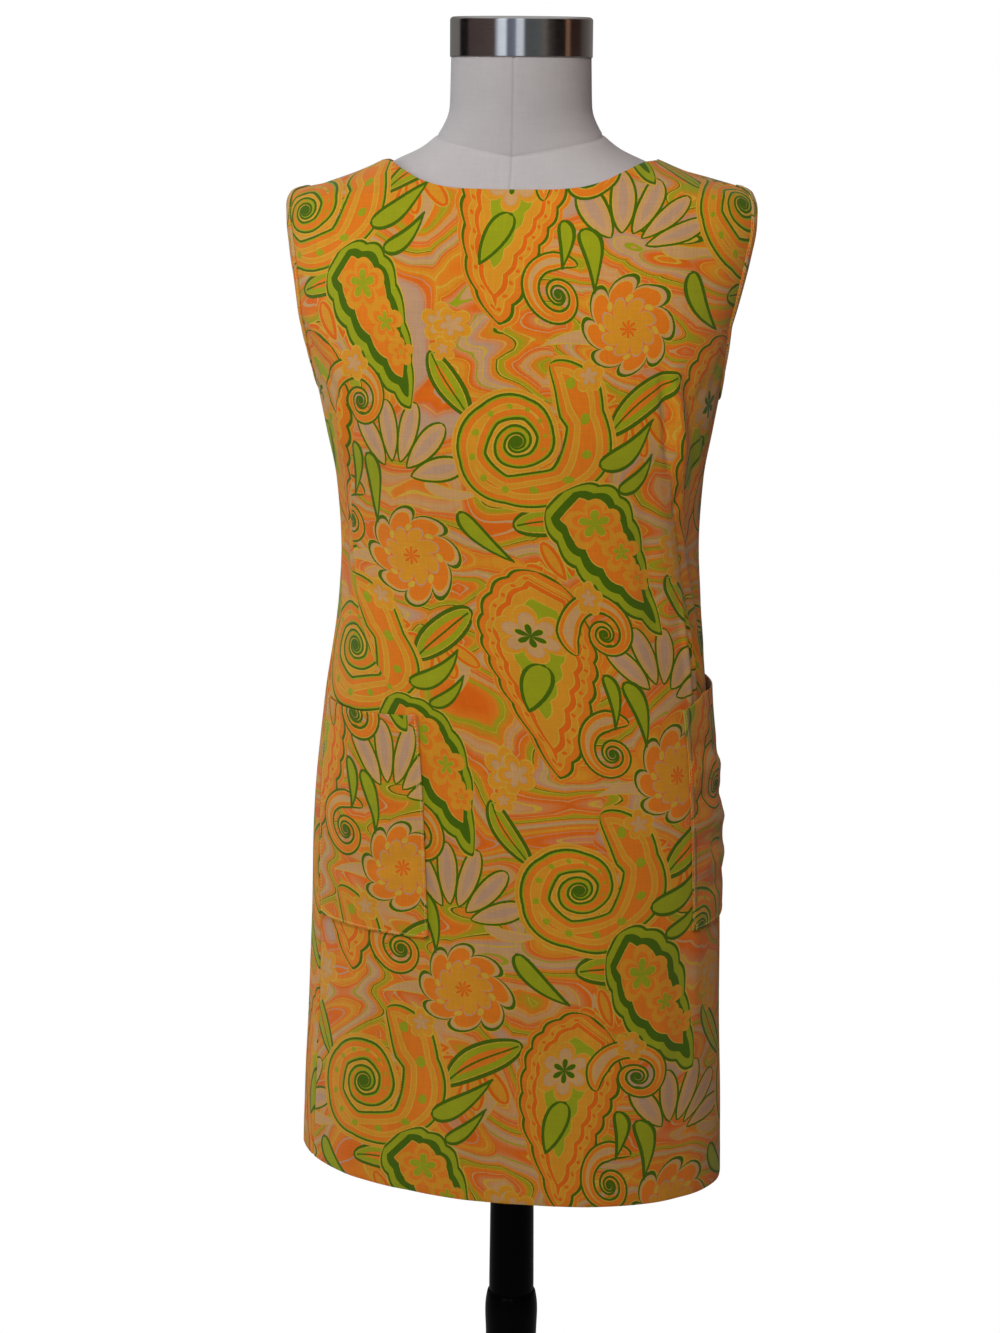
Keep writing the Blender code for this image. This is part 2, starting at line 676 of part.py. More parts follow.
print_cloth = finish("printed_cotton", (0.62, 0.33, 0.08), 0.85)
linen = finish("linen_cover", (0.62, 0.57, 0.53), 0.9)
cap_steel = finish("cap_steel", (0.50, 0.48, 0.46), 0.32, 1.0)
stand_paint = finish("stand_enamel", (0.010, 0.010, 0.011), 0.35)
base_iron = finish("base_iron", (0.015, 0.015, 0.016), 0.55)
zip_metal = finish("zip_metal", (0.60, 0.55, 0.42), 0.35, 1.0)
tape_cotton = finish("zip_tape", (0.55, 0.40, 0.14), 0.9)

panel("dress_front", front_edge(-1), front_edge(1), FRONT_COLUMNS, FRONT_NECK, print_cloth)
# Round the back the lengths run on from +X through the middle to -X.
panel("dress_back_left", back_edge(1), back_middle(1), BACK_COLUMNS, BACK_NECK, print_cloth)
panel("dress_back_right", back_middle(-1), back_edge(-1), BACK_COLUMNS, BACK_NECK, print_cloth)
pocket("pocket_left", 1, print_cloth)
pocket("pocket_right", -1, print_cloth)
armhole_band("armhole_band_left", 1, print_cloth)
armhole_band("armhole_band_right", -1, print_cloth)
zip_tape(tape_cotton)
zip_slider(zip_metal)
zip_pull(zip_metal)
form(linen)
neck_cap(cap_steel)
stand(stand_paint, base_iron)
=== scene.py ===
# %% [markdown]
# # A printed shift dress on a dress form
# A sleeveless cotton dress hangs on a padded form, which turns on a mast, which
# slides in the tube of an iron base. The frame holds where each piece lies and
# what moves. This script gives every piece its real surface.

from math import cos, exp, hypot, pi, radians, sin, tau

import bmesh
import bpy
import numpy as np
from mathutils import Matrix, Vector


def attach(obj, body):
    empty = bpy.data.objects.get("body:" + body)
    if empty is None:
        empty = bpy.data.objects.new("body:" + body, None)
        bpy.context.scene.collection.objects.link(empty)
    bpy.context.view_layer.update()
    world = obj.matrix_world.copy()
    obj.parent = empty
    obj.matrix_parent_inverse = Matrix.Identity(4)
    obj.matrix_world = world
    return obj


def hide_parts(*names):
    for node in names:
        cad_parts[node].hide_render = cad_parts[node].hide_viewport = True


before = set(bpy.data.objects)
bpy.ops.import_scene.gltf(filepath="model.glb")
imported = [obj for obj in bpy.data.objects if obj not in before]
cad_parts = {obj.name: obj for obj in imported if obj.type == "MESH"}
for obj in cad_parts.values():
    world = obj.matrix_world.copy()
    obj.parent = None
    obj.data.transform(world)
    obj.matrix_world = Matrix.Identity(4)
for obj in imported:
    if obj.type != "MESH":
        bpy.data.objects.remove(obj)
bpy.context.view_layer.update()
print("CAD nodes:", ", ".join(sorted(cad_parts)))

# %% [markdown]
# ## Where the camera stands
# A long lens from a few metres away keeps a garment's proportions. The camera
# comes first, as every finish is judged through it.

# %% Camera
FIGURE_TURN = radians(6.5)  # how far the camera walks round from straight ahead
CAMERA_ASIDE, CAMERA_DISTANCE, CAMERA_HEIGHT = -0.0146, 2.5, 1.476
CAMERA_PITCH, CAMERA_ROLL = radians(11.8), radians(0.4)
SENSOR = 36.0
FOCAL_SHARE = 2868 / 1333  # focal length over the picture's long side
CLIP = (0.1, 60.0)

lens = bpy.data.cameras.new("camera")
lens.sensor_width = SENSOR
lens.lens = SENSOR * FOCAL_SHARE
lens.clip_start, lens.clip_end = CLIP
camera = bpy.data.objects.new("camera", lens)
bpy.context.collection.objects.link(camera)
around = Matrix.Rotation(FIGURE_TURN, 4, "Z")
stand_point = Matrix.Translation((CAMERA_ASIDE, -CAMERA_DISTANCE, CAMERA_HEIGHT))
tilt = Matrix.Rotation(pi / 2 - CAMERA_PITCH, 4, "X") @ Matrix.Rotation(CAMERA_ROLL, 4, "Z")
camera.matrix_world = around @ stand_point @ tilt
bpy.context.scene.camera = camera
print(f"lens {lens.lens:.1f} mm at {tuple(round(v, 3) for v in camera.matrix_world.translation)}")

# %% [markdown]
# ## The dress as rings
# A dress is a tube whose girth changes with height. Each row of a table is a
# superellipse at one height, and a monotone cubic curve is read between the rows.
# Slip says how far the skirt has crept round the figure.

# %% Ring tables
def table(names, rows, scale=1.0):
    """A table's columns by name."""
    return dict(zip(names.split(), (np.array(rows, float) / scale).T))


MILLIMETRES = 1000.0  # in a metre, for tables that are written in them
RING_SCALE = (1000, 1000, 1000, 1000, 1, 1000)  # all but the corner, a power, are in millimetres
DRESS = table("height half_width front back corner slip", (
    (450, 192.5, 127, 127, 2.15, 59), (545, 190.5, 127.5, 128, 2.15, 58),
    (643, 186.2, 128.5, 130, 2.15, 58), (738, 183.7, 129.5, 132.5, 2.18, 57),
    (830, 180.4, 129.5, 134, 2.2, 55), (923, 170.6, 128, 131, 2.25, 49), (1015, 160, 125, 122, 2.3, 19),
    (1070, 157.2, 125.5, 116, 2.35, 7), (1125, 160.2, 129, 115, 2.45, 1),
    (1170, 168.2, 132.5, 116.5, 2.55, 0), (1210, 176.2, 132, 119, 2.55, 0),
    (1250, 186.2, 126.5, 120, 2.5, 0), (1290, 195, 117, 117, 2.45, 0), (1320, 200.9, 107, 110, 2.4, 0),
    (1343, 203.8, 97, 102, 2.35, 0), (1358, 202.6, 89.5, 95, 2.3, 0), (1370, 196.5, 83, 89, 2.3, 0),
    (1381, 167.5, 77, 83.5, 2.3, 0), (1390, 142, 72.5, 79.5, 2.3, 0), (1405, 106.5, 66.5, 73.5, 2.3, 0),
), RING_SCALE)
# The form inside it fills the dress at bust and shoulders only.
FORM = table("height half_width front back corner", (
    (680, 150, 102, 108, 2.2), (690, 156, 108, 114, 2.2), (760, 165, 114, 121.5, 2.2),
    (860, 168, 115, 126, 2.2), (950, 153, 106, 115, 2.2), (1050, 127, 90, 93, 2.2),
    (1100, 139, 108, 99, 2.3), (1130, 152, 121.5, 106, 2.4), (1170, 164.2, 128.5, 112.2, 2.55),
    (1210, 172.3, 128, 114.7, 2.55), (1250, 182.5, 122.7, 115.7, 2.5), (1290, 191.4, 113.3, 112.7, 2.45),
    (1320, 197, 103.3, 105.7, 2.4), (1343, 199.3, 93, 97.5, 2.35), (1358, 196.7, 85.5, 90.6, 2.3),
    (1368, 188, 79.5, 85, 2.3), (1378, 161, 74, 80.5, 2.3), (1387, 136, 70, 76.5, 2.3),
    (1400, 103, 65.5, 71, 2.25), (1410, 83, 63, 67.5, 2.1), (1425, 67.5, 60.8, 63.5, 2),
    (1443, 61, 60, 60.8, 2), (1470, 60.2, 60.2, 60.2, 2), (1510, 59.4, 59.4, 59.4, 2),
), RING_SCALE[:5])
# How far towards +X the figure leans at a height, and how much lower the shoulder at -X lies.
SWAY = table("height x", (
    (500, -0.8), (650, 0.8), (720, 1.5), (820, 0), (920, -0.4), (1000, 1.8), (1030, 2.5), (1130, 2.2),
    (1200, 1.2), (1235, 0), (1270, -2.3), (1310, -2.2), (1360, -1.2), (1390, 0),
), MILLIMETRES)
LOW_SHOULDER = table("x drop", (
    (-200, 0), (-182, 1.8), (-172, 3), (-150, 2.8), (-128, 2.6), (-116, 1.8), (-106, 0),
), MILLIMETRES)
LOW_FROM, LOW_OVER = 1.3, 0.045  # the height where that begins, and over how much it grows
print(f"{len(DRESS['height'])} rings of the dress, {len(FORM['height'])} of the form")

# %% [markdown]
# ## Measuring round a ring
# A cutter measures cloth along its surface. So a place is given as a length round
# the ring from the middle of the front, and a height. A survey of the rings turns
# such a length back into an angle.

# %% Places on a ring
SURVEY_STEP = 0.002
ANGLES = np.linspace(0, pi, 241)
SHARES = np.linspace(0, 1, 481)
NUDGE = 0.0004  # a step along the surface that is small beside any crease


def held(share):
    """A share kept between 0 and 1."""
    return np.clip(share, 0, 1)


def smooth(x, xs, ys):
    """The monotone cubic through the points (xs, ys), read at x."""
    step = np.diff(xs)
    rise = np.diff(ys) / step
    slope = np.zeros(len(xs))
    slope[0], slope[-1] = rise[0], rise[-1]
    same = rise[:-1] * rise[1:] > 0
    before, after = np.where(same, rise[:-1], 1), np.where(same, rise[1:], 1)
    near, far = 2 * step[1:] + step[:-1], step[1:] + 2 * step[:-1]
    slope[1:-1] = np.where(same, (near + far) / (near / before + far / after), 0)
    k = np.clip(np.searchsorted(xs, x) - 1, 0, len(step) - 1)
    t = held((x - xs[k]) / step[k])
    start = (1 + 2 * t) * (1 - t) ** 2 * ys[k] + t * (1 - t) ** 2 * step[k] * slope[k]
    end = t * t * (3 - 2 * t) * ys[k + 1] - t * t * (1 - t) * step[k] * slope[k + 1]
    return start + end


def read(rings, name, height):
    return smooth(np.asarray(height, float), rings["height"], rings[name])


def ring_radius(rings, angle, height):
    """Distance from the ring's centre at an angle from the middle of the front."""
    depth = np.where(np.cos(angle) > 0, read(rings, "front", height), read(rings, "back", height))
    power = read(rings, "corner", height)
    across = np.abs(np.sin(angle)) / read(rings, "half_width", height)
    along = np.abs(np.cos(angle)) / depth
    return (across ** power + along ** power) ** (-1 / power)


def survey(rings):
    """Adds to a table what was measured round its rings."""
    first, last = rings["height"][0], rings["height"][-1]
    heights = np.arange(first, last + SURVEY_STEP, SURVEY_STEP)
    radius = ring_radius(rings, ANGLES[None, :], heights[:, None])
    steps = np.hypot(np.diff(radius * np.sin(ANGLES)), np.diff(radius * np.cos(ANGLES)))
    lengths = np.concatenate([np.zeros((len(heights), 1)), np.cumsum(steps, axis=1)], axis=1)
    rings["levels"] = heights
    rings["to_back"] = lengths[:, -1]
    rings["to_side"] = lengths[:, len(ANGLES) // 2]
    rings["angles"] = np.array([np.interp(SHARES * row[-1], row, ANGLES) for row in lengths])


def girth(height, rings=DRESS):
    """Length of half a ring, from the middle of the front to that of the back."""
    return np.interp(height, rings["levels"], rings["to_back"])


def quarter(height, rings=DRESS):
    """Length of a ring from the middle of the front to the side."""
    return np.interp(height, rings["levels"], rings["to_side"])


def slip(height):
    return read(DRESS, "slip", height)


def on_rings(along, height, rings=DRESS):
    """Points at a length round the ring from the middle of its front, at a height."""
    along, height = np.broadcast_arrays(np.asarray(along, float), np.asarray(height, float))
    half = girth(height, rings)
    wrapped = (along + half) % (2 * half) - half
    table = rings["angles"]
    row = np.clip((height - rings["levels"][0]) / SURVEY_STEP, 0, len(table) - 1.001)
    column = np.clip(np.abs(wrapped) / half * (len(SHARES) - 1), 0, len(SHARES) - 1.001)
    r, c = row.astype(int), column.astype(int)
    up, on = row - r, column - c
    low = (1 - on) * table[r, c] + on * table[r, c + 1]
    high = (1 - on) * table[r + 1, c] + on * table[r + 1, c + 1]
    angle = np.copysign((1 - up) * low + up * high, wrapped)
    radius = ring_radius(rings, angle, height)
    x = radius * np.sin(angle) + smooth(height, SWAY["height"], SWAY["x"])
    low_part = np.interp(x, LOW_SHOULDER["x"], LOW_SHOULDER["drop"])
    drop = low_part * held((height - LOW_FROM) / LOW_OVER)
    return np.stack([x, -radius * np.cos(angle), height - drop], axis=-1)


def ring_normals(along, height, rings=DRESS):
    """Outward directions of a surface of rings."""
    around_it = on_rings(along + NUDGE, height, rings) - on_rings(along - NUDGE, height, rings)
    upward = on_rings(along, height + NUDGE, rings) - on_rings(along, height - NUDGE, rings)
    normal = np.cross(around_it, upward)
    return normal / np.linalg.norm(normal, axis=-1, keepdims=True)


survey(DRESS)
survey(FORM)
for label, height in (("bust", 1.21), ("waist", 1.055), ("hip", 0.83)):
    print(f"{label} over the cloth: {2 * girth(height):.3f} m round")

# %% [markdown]
# ## Where the pieces end
# These are the cut lines. The armhole is two quarter ellipses, and the boat neck
# stays nearly level across the chest and rises late.

# %% Cut lines
SEAM = 0.0003
HEM, HEM_DIP = 0.4978, 0.046
UNDERARM, SHOULDER_TIP = 1.2025, 1.37
NECK_POINT, NECK_WIDTH = 1.4, 0.1163
FRONT_NECK, BACK_NECK = 1.3767, 1.389
BACK_NECK_CURVE = 24.0
# How far up the front neckline has risen, at shares of the way out.
FRONT_NECKLINE = table("share rise", (
    (0, 0), (0.3, 0.017), (0.5, 0.1), (0.58, 0.189), (0.67, 0.33), (0.76, 0.545), (0.85, 0.765), (0.9, 0.895),
    (0.945, 0.975), (1, 1),
))
ARMHOLE_FRONT = {1: 0.032, -1: 0.052}  # cut forward of the seam, by side: +1 is +X
ARMHOLE_BACK = 0.04
ARMHOLE_WIDEST = 0.52
ZIP_FOOT = 0.89
SLIDER_HEIGHT = 1.3775
SLIDER_ROOM = 0.0029
SLIDER_PARTS = 0.004  # the height over which the edges part to the slider's width
ZIP_PARTING = 0.0006  # half of what shows between the two back edges
ZIP_OPENS = 0.02  # the height over which the seam opens to that


def armhole_reach(height, cut):
    """How far an armhole's edge stands off the seam line at a height."""
    share = (height - UNDERARM) / (SHOULDER_TIP - UNDERARM)
    low = (ARMHOLE_WIDEST - share) / ARMHOLE_WIDEST
    high = (share - ARMHOLE_WIDEST) / (1 - ARMHOLE_WIDEST)
    away = held(np.where(share < ARMHOLE_WIDEST, low, high))
    inside = (share > 0) & (share < 1)
    return np.where(inside, cut * np.sqrt(1 - away ** 2), 0)


def neckline(x, centre_height):
    """Height of the neckline at a distance from the middle."""
    share = np.minimum(np.abs(x) / NECK_WIDTH, 1)
    if centre_height == FRONT_NECK:
        rise = smooth(share, FRONT_NECKLINE["share"], FRONT_NECKLINE["rise"])
    else:
        rise = share ** BACK_NECK_CURVE
    return centre_height + (NECK_POINT - centre_height) * rise


def zip_gap(height):
    """Half the gap between the two backs: a seam, then the zip, wider at the slider."""
    below = held((height - ZIP_FOOT) / ZIP_OPENS)
    share = held((height - SHOULDER_TIP) / SLIDER_PARTS + 1)
    parted = SEAM / 2 + (ZIP_PARTING - SEAM / 2) * below
    return parted + (SLIDER_ROOM - parted) * share * share * (3 - 2 * share)


def side_edge(side, way, reach):
    """A panel's edge at the side, as a function of the height. way is -1 for the front, 1 for a back."""
    def edge(height):
        inset = np.maximum(armhole_reach(height, reach), SEAM / 2)
        return slip(height) + side * (quarter(height) + way * inset)
    return edge


def front_edge(side):
    return side_edge(side, -1, ARMHOLE_FRONT[side])


def back_edge(side):
    return side_edge(side, 1, ARMHOLE_BACK)


def back_middle(side):
    return lambda height: slip(height) + side * (girth(height) - zip_gap(height))


print(f"neck {2 * NECK_WIDTH:.3f} m wide, armholes {SHOULDER_TIP - UNDERARM:.3f} m deep")

# %% [markdown]
# ## Darts
# A shift dress has no waist seam. Long darts fit it, folds sewn inside that taper
# at both ends. Outside, a dart is a fine groove with the cloth rounded beside it,
# where the print breaks off by what the dart takes in.

# %% Dart lines
FRONT_DART = table("height across", (
    (450, 126), (925, 126), (983, 152), (1020, 159), (1070, 158), (1120, 150), (1179, 139), (1260, 124),
    (1420, 62),
), MILLIMETRES)
BACK_DART_OFF = 0.092  # from the zip to the dart, round the back
BACK_DART_NEARER, NEARER_FROM, NEARER_OVER = 0.45, 1.3, 0.12  # the share, and where it begins and grows
DART_FOOT, DART_WAIST = 0.935, 1.055
DART_TOP = {"front": 1.18, "back": 1.215}
DART_TAKES = {"front": 0.026, "back": 0.02}


def front_dart(side):
    return lambda height: slip(height) + side * smooth(height, FRONT_DART["height"], FRONT_DART["across"])


def back_dart(side):
    def line(height):
        nearer = BACK_DART_NEARER * held((height - NEARER_FROM) / NEARER_OVER)
        return slip(height) + side * (girth(height) - BACK_DART_OFF * (1 - nearer))
    return line


def dart_strength(height, where):
    """1 at the waist, 0 at both ends of a dart."""
    below = (height - DART_FOOT) / (DART_WAIST - DART_FOOT)
    above = (DART_TOP[where] - height) / (DART_TOP[where] - DART_WAIST)
    share = held(np.minimum(below, above))
    return share * share * (3 - 2 * share)


print(f"front darts take in {2 * DART_TAKES['front'] * 1000:.0f} mm in all at the waist")

# %% [markdown]
# ## Folds and creases
# The frame's wall carries the largest folds, and they are repeated here. The smaller
# creases are soft troughs and ridges between two points, listed one by one, because
# real creases follow the pull of the cloth and no noise pattern does.

# %% Relief of the cloth
# The tables are in millimetres. Depth is into the cloth, and a ridge is below 0. A crease runs from
# one end to the other in the cloth's own place: across from the middle of the front, and height.
FOLDS = table("top_along top foot_along foot breadth depth", (
    (130, 1190, 205, 930, 13, 5), (172, 1170, 228, 960, 10, 4), (-175, 1150, -190, 960, 14, 3),
    (330, 1120, 345, 700, 20, 4.5), (-330, 1100, -300, 640, 22, 4.5), (430, 1080, 440, 560, 20, 4),
    (60, 800, 75, 480, 26, 2.5), (234, 1410, 226, 1262, 26, -4.5),
), MILLIMETRES)
CREASES = table("across height end_across end_height breadth depth", (
    # the puff over the top of each front dart, a cone between two grooves
    (136, 1218, 144.5, 1148, 4, 3.2), (148, 1220, 160, 1134, 7.4, -5), (162, 1206, 190, 1133, 5, 4.4),
    (160, 1126, 153.5, 1108, 3, 1.8), (-137, 1212, -143, 1156, 4.6, 1.4),
    (-150, 1214, -159, 1145, 7.8, -2.6), (-164, 1200, -182, 1142, 5.6, 2),
    # pleats that carry the dart on to the corner of the pocket
    (150, 1030, 133, 940, 3.4, -2.2), (158, 1020, 147, 940, 3.6, -2.4), (154, 1015, 140, 942, 2.8, 2.6),
    (170, 995, 155, 942, 3.6, 2.6), (180, 995, 174, 948, 4, -1.2),
    # drags from the underarms towards the bust and the waist
    (-200, 1250, -156, 1204, 5, 2.2), (-206, 1232, -166, 1190, 4.6, 1.9),
    (-212, 1214, -172, 1160, 5.8, 1.7), (-188, 1268, -150, 1232, 5.6, -1.4),
    (-184, 1276, -166, 1246, 3.6, 1.2), (188, 1220, 176, 1198, 4.6, 1.9),
    (178, 1200, 207, 1154, 4.4, 2.3), (186, 1198, 216, 1148, 4.6, -1.7),
    (214, 1240, 196, 1200, 5.2, 1.7), (226, 1190, 206, 1130, 6, 1.5),
    # slack beside the darts at the waist
    (172, 1105, 192, 1010, 7, 2), (190, 1100, 206, 985, 6.6, -1.6), (-172, 1125, -186, 1000, 8, 1.8),
    (-196, 1095, -204, 990, 7, -1.4), (122, 1130, 110, 960, 10, 1.5), (-120, 1110, -106, 950, 11, 1.4),
    (60, 1130, 50, 900, 16, 1.4), (-45, 1110, -62, 890, 18, 1.3),
    # short cross wrinkles over the waist
    (95, 1028, 150, 1046, 4.6, 0.7), (-150, 1040, -90, 1020, 5, 0.7), (-60, 1000, 0, 994, 6, 0.4),
    # the chest, and the neckline where it stands off a little
    (20, 1362, 66, 1330, 10, 0.8), (-90, 1350, -60, 1290, 12, 0.8), (-150, 1350, -170, 1290, 9, 1),
    (160, 1345, 178, 1280, 10, 1),
    # long waves of the skirt
    (-20, 900, -30, 470, 18, 1.4), (-75, 780, -90, 470, 16, -1.2), (30, 840, 22, 480, 15, -1),
    (105, 720, 112, 470, 14, 1.4), (-125, 720, -140, 470, 13, 1.2), (165, 730, 175, 470, 15, -1.3),
    (-185, 730, -200, 480, 15, -1.2), (-50, 640, -46, 560, 10, 0.6), (70, 690, 82, 610, 9, 0.6),
    # the backs: drags from the armholes, slack at the waist, waves of the skirt
    (290, 1250, 340, 1190, 6, 1.5), (282, 1225, 330, 1160, 6, 1.3), (-288, 1245, -345, 1200, 6, 1.4),
    (-280, 1215, -322, 1150, 6, 1.4), (300, 1090, 320, 985, 9, 1.4), (-298, 1100, -312, 990, 9, 1.3),
    (372, 1050, 352, 1034, 5, 0.9), (-375, 1060, -350, 1046, 5, 0.8), (395, 1360, 372, 1250, 12, 1.2),
    (-392, 1355, -368, 1240, 12, 1), (300, 820, 306, 480, 15, 1.4), (365, 760, 372, 480, 16, -1.4),
    (455, 740, 462, 480, 15, 1), (-290, 790, -296, 480, 15, -1.3), (-372, 840, -378, 480, 16, 1.4),
    (-448, 720, -452, 480, 15, -1),
), MILLIMETRES)
CREASE_STRENGTH = 1.5  # over what the table says, because the weave's bump hides some
CREASE_FADE, CREASE_LEAST = 0.35, 0.35  # the share of its length over which it fades, and to what share
DART_GROOVE, DART_GROOVE_BREADTH = 0.0013, 0.0016
DART_ROLL, DART_ROLL_BREADTH = 0.0011, 0.0075
DART_ROLL_OTHER = 0.7  # the share of the roll on the other side
DART_STEP, DART_STEP_REACH = 0.0028, 0.018  # the side panel lies lower beside the seam
DART_STEP_EDGE = 0.001
DART_CORNER = {1: 0.0042, -1: 0.0016}  # how far the cloth is bent out along the dart, as over an edge
DART_CORNER_REACH = (0.034, 0.02)  # on its inner and its outer side
DART_CORNER_EASE = 0.002
DART_CORNER_HEIGHTS, DART_CORNER_SHARES = (0.55, 0.7, 0.8, 1.14, 1.21), (0, 0.7, 1, 1, 0)
SEAM_DIP, SEAM_DIP_BREADTH = 0.0014, 0.0014
HEM_ALLOWANCE = 0.026
HEM_STEP, HEM_STEP_REACH = 0.00035, 0.003
PRESS_MOST = 0.0022  # the form lies close under the cloth here and there
STEEPEST = 30  # holds an exponent down


def ripple(away, breadth):
    return np.exp(-((away / breadth) ** 2))


def rise_over(distance, reach):
    """0 well below a line, 1 well above it, over a short reach."""
    return 1 / (1 + np.exp(np.clip(-distance / reach, -STEEPEST, STEEPEST)))


def beside(x, y, line):
    """Places seen from a line: how far along it, aside of it and past its ends, and its length."""
    start_x, start_y, end_x, end_y = line
    length = hypot(end_x - start_x, end_y - start_y)
    run_x, run_y = (end_x - start_x) / length, (end_y - start_y) / length
    on = (x - start_x) * run_x + (y - start_y) * run_y
    aside = (y - start_y) * run_x - (x - start_x) * run_y
    return on, aside, np.maximum(np.maximum(-on, on - length), 0), length


def wall_folds(along, height):
    depth = np.zeros(np.broadcast(along, height).shape)
    whole = 2 * girth(height)
    for top_along, top, foot_along, foot, breadth, most in zip(*FOLDS.values()):
        share = held((top - height) / (top - foot))
        centre = top_along + share * (foot_along - top_along)
        away = (along - centre + whole / 2) % whole - whole / 2
        depth += most * np.sin(pi * share) ** 0.8 * ripple(away, breadth)
    return depth


def crease_depth(across, height):
    """How far the creases press the cloth in."""
    depth = np.zeros(np.broadcast(across, height).shape)
    for *line, breadth, most in zip(*CREASES.values()):
        on, aside, past, length = beside(across, height, line)
        end = held(np.minimum(on, length - on) / (CREASE_FADE * length))
        strength = CREASE_STRENGTH * (CREASE_LEAST + (1 - CREASE_LEAST) * end)
        depth += strength * most * ripple(aside, breadth) * ripple(past, breadth * 2)
    return depth


def dart_depth(along, height):
    """The groove of each dart, between two rounded flanks."""
    depth = np.zeros(np.broadcast(along, height).shape)
    for where, line in (("front", front_dart), ("back", back_dart)):
        strength = dart_strength(height, where)
        for side in (1, -1):
            away = along - line(side)(height)
            depth += strength * DART_GROOVE * ripple(away, DART_GROOVE_BREADTH)
            depth -= strength * DART_ROLL * (
                ripple(away + DART_ROLL_BREADTH, DART_ROLL_BREADTH)
                + DART_ROLL_OTHER * ripple(away - DART_ROLL_BREADTH, DART_ROLL_BREADTH))
            outward = np.maximum(side * away, 0)
            step = (1 - np.exp(-outward / DART_STEP_EDGE)) * np.exp(-outward / DART_STEP_REACH)
            depth += strength * DART_STEP * step
            if where == "front":
                reach = np.where(side * away > 0, DART_CORNER_REACH[1], DART_CORNER_REACH[0])
                bent = np.exp(-(np.hypot(away, DART_CORNER_EASE) - DART_CORNER_EASE) / reach)
                share = np.interp(height, DART_CORNER_HEIGHTS, DART_CORNER_SHARES)
                depth -= DART_CORNER[side] * share * bent
    return depth


def edge_dips(along, height):
    """Side and shoulder seams, sunk where the allowances are pressed open, and the hem."""
    across = along - slip(height)
    to_seam = np.abs(np.abs(across) - quarter(height))
    sewn = (height < UNDERARM) | (height > SHOULDER_TIP)
    depth = np.where(sewn, SEAM_DIP * ripple(to_seam, SEAM_DIP_BREADTH), 0)
    hem = HEM - HEM_DIP * on_rings(along, np.full(np.shape(height), HEM))[..., 0]
    return depth - HEM_STEP * rise_over(hem + HEM_ALLOWANCE - height, HEM_STEP_REACH)


def cloth(along, height, out=0.0, close=1.0):
    """Points of the dress's outer face with its relief, moved out by a distance.

    close is the share of the small relief that is followed: a pocket bridges it.
    """
    along, height = np.broadcast_arrays(np.asarray(along, float), np.asarray(height, float))
    small = crease_depth(along - slip(height), height) + dart_depth(along, height)
    small += edge_dips(along, height)
    small = np.where(small > 0, PRESS_MOST * np.tanh(small / PRESS_MOST), small)
    depth = wall_folds(along, height) + close * small
    offset = np.asarray(out, float) - depth
    return on_rings(along, height) + ring_normals(along, height) * offset[..., None]


print(f"{len(FOLDS['depth'])} folds and {len(CREASES['depth'])} creases, placed by hand")

# %% [markdown]
# ## From a grid of points to a cut piece of cloth
# A woven piece is a grid here: rows run with the weft, columns with the warp. So
# the UV map can be the flat cloth itself, in metres.

# %% Cloth from a grid
CLOTH = 0.0005
TURN_RADIUS = 0.00055  # of the cloth where it is folded over at an edge


def link(name, data):
    thing = bpy.data.objects.new(name, data)
    bpy.context.collection.objects.link(thing)
    return thing


def smooth_mesh(name, points, faces):
    mesh = bpy.data.meshes.new(name)
    mesh.from_pydata(points, [], faces)
    mesh.update()
    mesh.shade_smooth()
    return mesh


def grid_faces(rows, across, closed=False):
    """Quads of a grid of points, rows by columns. A closed grid joins its last row to its first."""
    faces = []
    for r in range(rows if closed else rows - 1):
        low, high = r * across, (r + 1) % rows * across
        faces += [(low + c, low + c + 1, high + c + 1, high + c) for c in range(across - 1)]
    return faces


def grid_mesh(name, points, flat_places=None, closed=False):
    """A smooth mesh over a grid, with its flat cloth as the UV map, a place for each face corner."""
    faces = grid_faces(*points.shape[:2], closed)
    mesh = smooth_mesh(name, points.reshape(-1, 3).tolist(), faces)
    if flat_places is not None:
        corners = mesh.uv_layers.new(name="flat cloth")
        corners.data.foreach_set("uv", flat_places.astype(np.float32).ravel())
    return mesh


def thicken(thing, thickness=CLOTH):
    solid = thing.modifiers.new("cloth thickness", "SOLIDIFY")
    solid.thickness = thickness
    solid.offset = -1.0
    solid.use_rim = True
    solid.material_offset = 1
    solid.material_offset_rim = 0


def cloth_piece(name, points, flat_places, closed=False, thickness=CLOTH):
    thing = link(name, grid_mesh(name, points, flat_places, closed))
    thicken(thing, thickness)
    return thing


def corner_places(u, v, closed=False, shift=None):
    """UV places of each face's four corners from grids of u and v.

    shift moves the corners of the faces in each column, as cloth beyond a dart is.
    """
    rows, across = u.shape
    spans = rows if closed else rows - 1
    low = np.arange(spans)[:, None]
    high = (low + 1) % rows
    left = np.arange(across - 1)[None, :]
    order = ((low, left), (low, left + 1), (high, left + 1), (high, left))
    places = np.stack([np.stack([u[i, j], v[i, j]], axis=-1) for i, j in order], axis=2)
    if shift is not None:
        places[..., 0] += np.stack([shift[i, left] for i, _ in order], axis=2)
    return places


def turned_over(foot, levels=5, depth=0.02, way=1.0):
    """Rows of an edge folded to the inside: (height, out) for each, from inside out.

    way is 1 for a lower edge, whose inner layer runs up, and -1 for an upper edge.
    """
    inside = [(foot + way * (TURN_RADIUS + depth * (levels - k) / levels), -2 * TURN_RADIUS)
              for k in range(levels)]
    fold = []
    for k in range(5):
        angle = pi * (1 - k / 4)
        rise = TURN_RADIUS * (1 - sin(angle))
        fold.append((foot + way * rise, -TURN_RADIUS * (1 - cos(angle))))
    return inside + fold


print(f"cloth {CLOTH * 1000:.1f} mm thick, turned over {2 * TURN_RADIUS * 1000:.1f} mm at its edges")

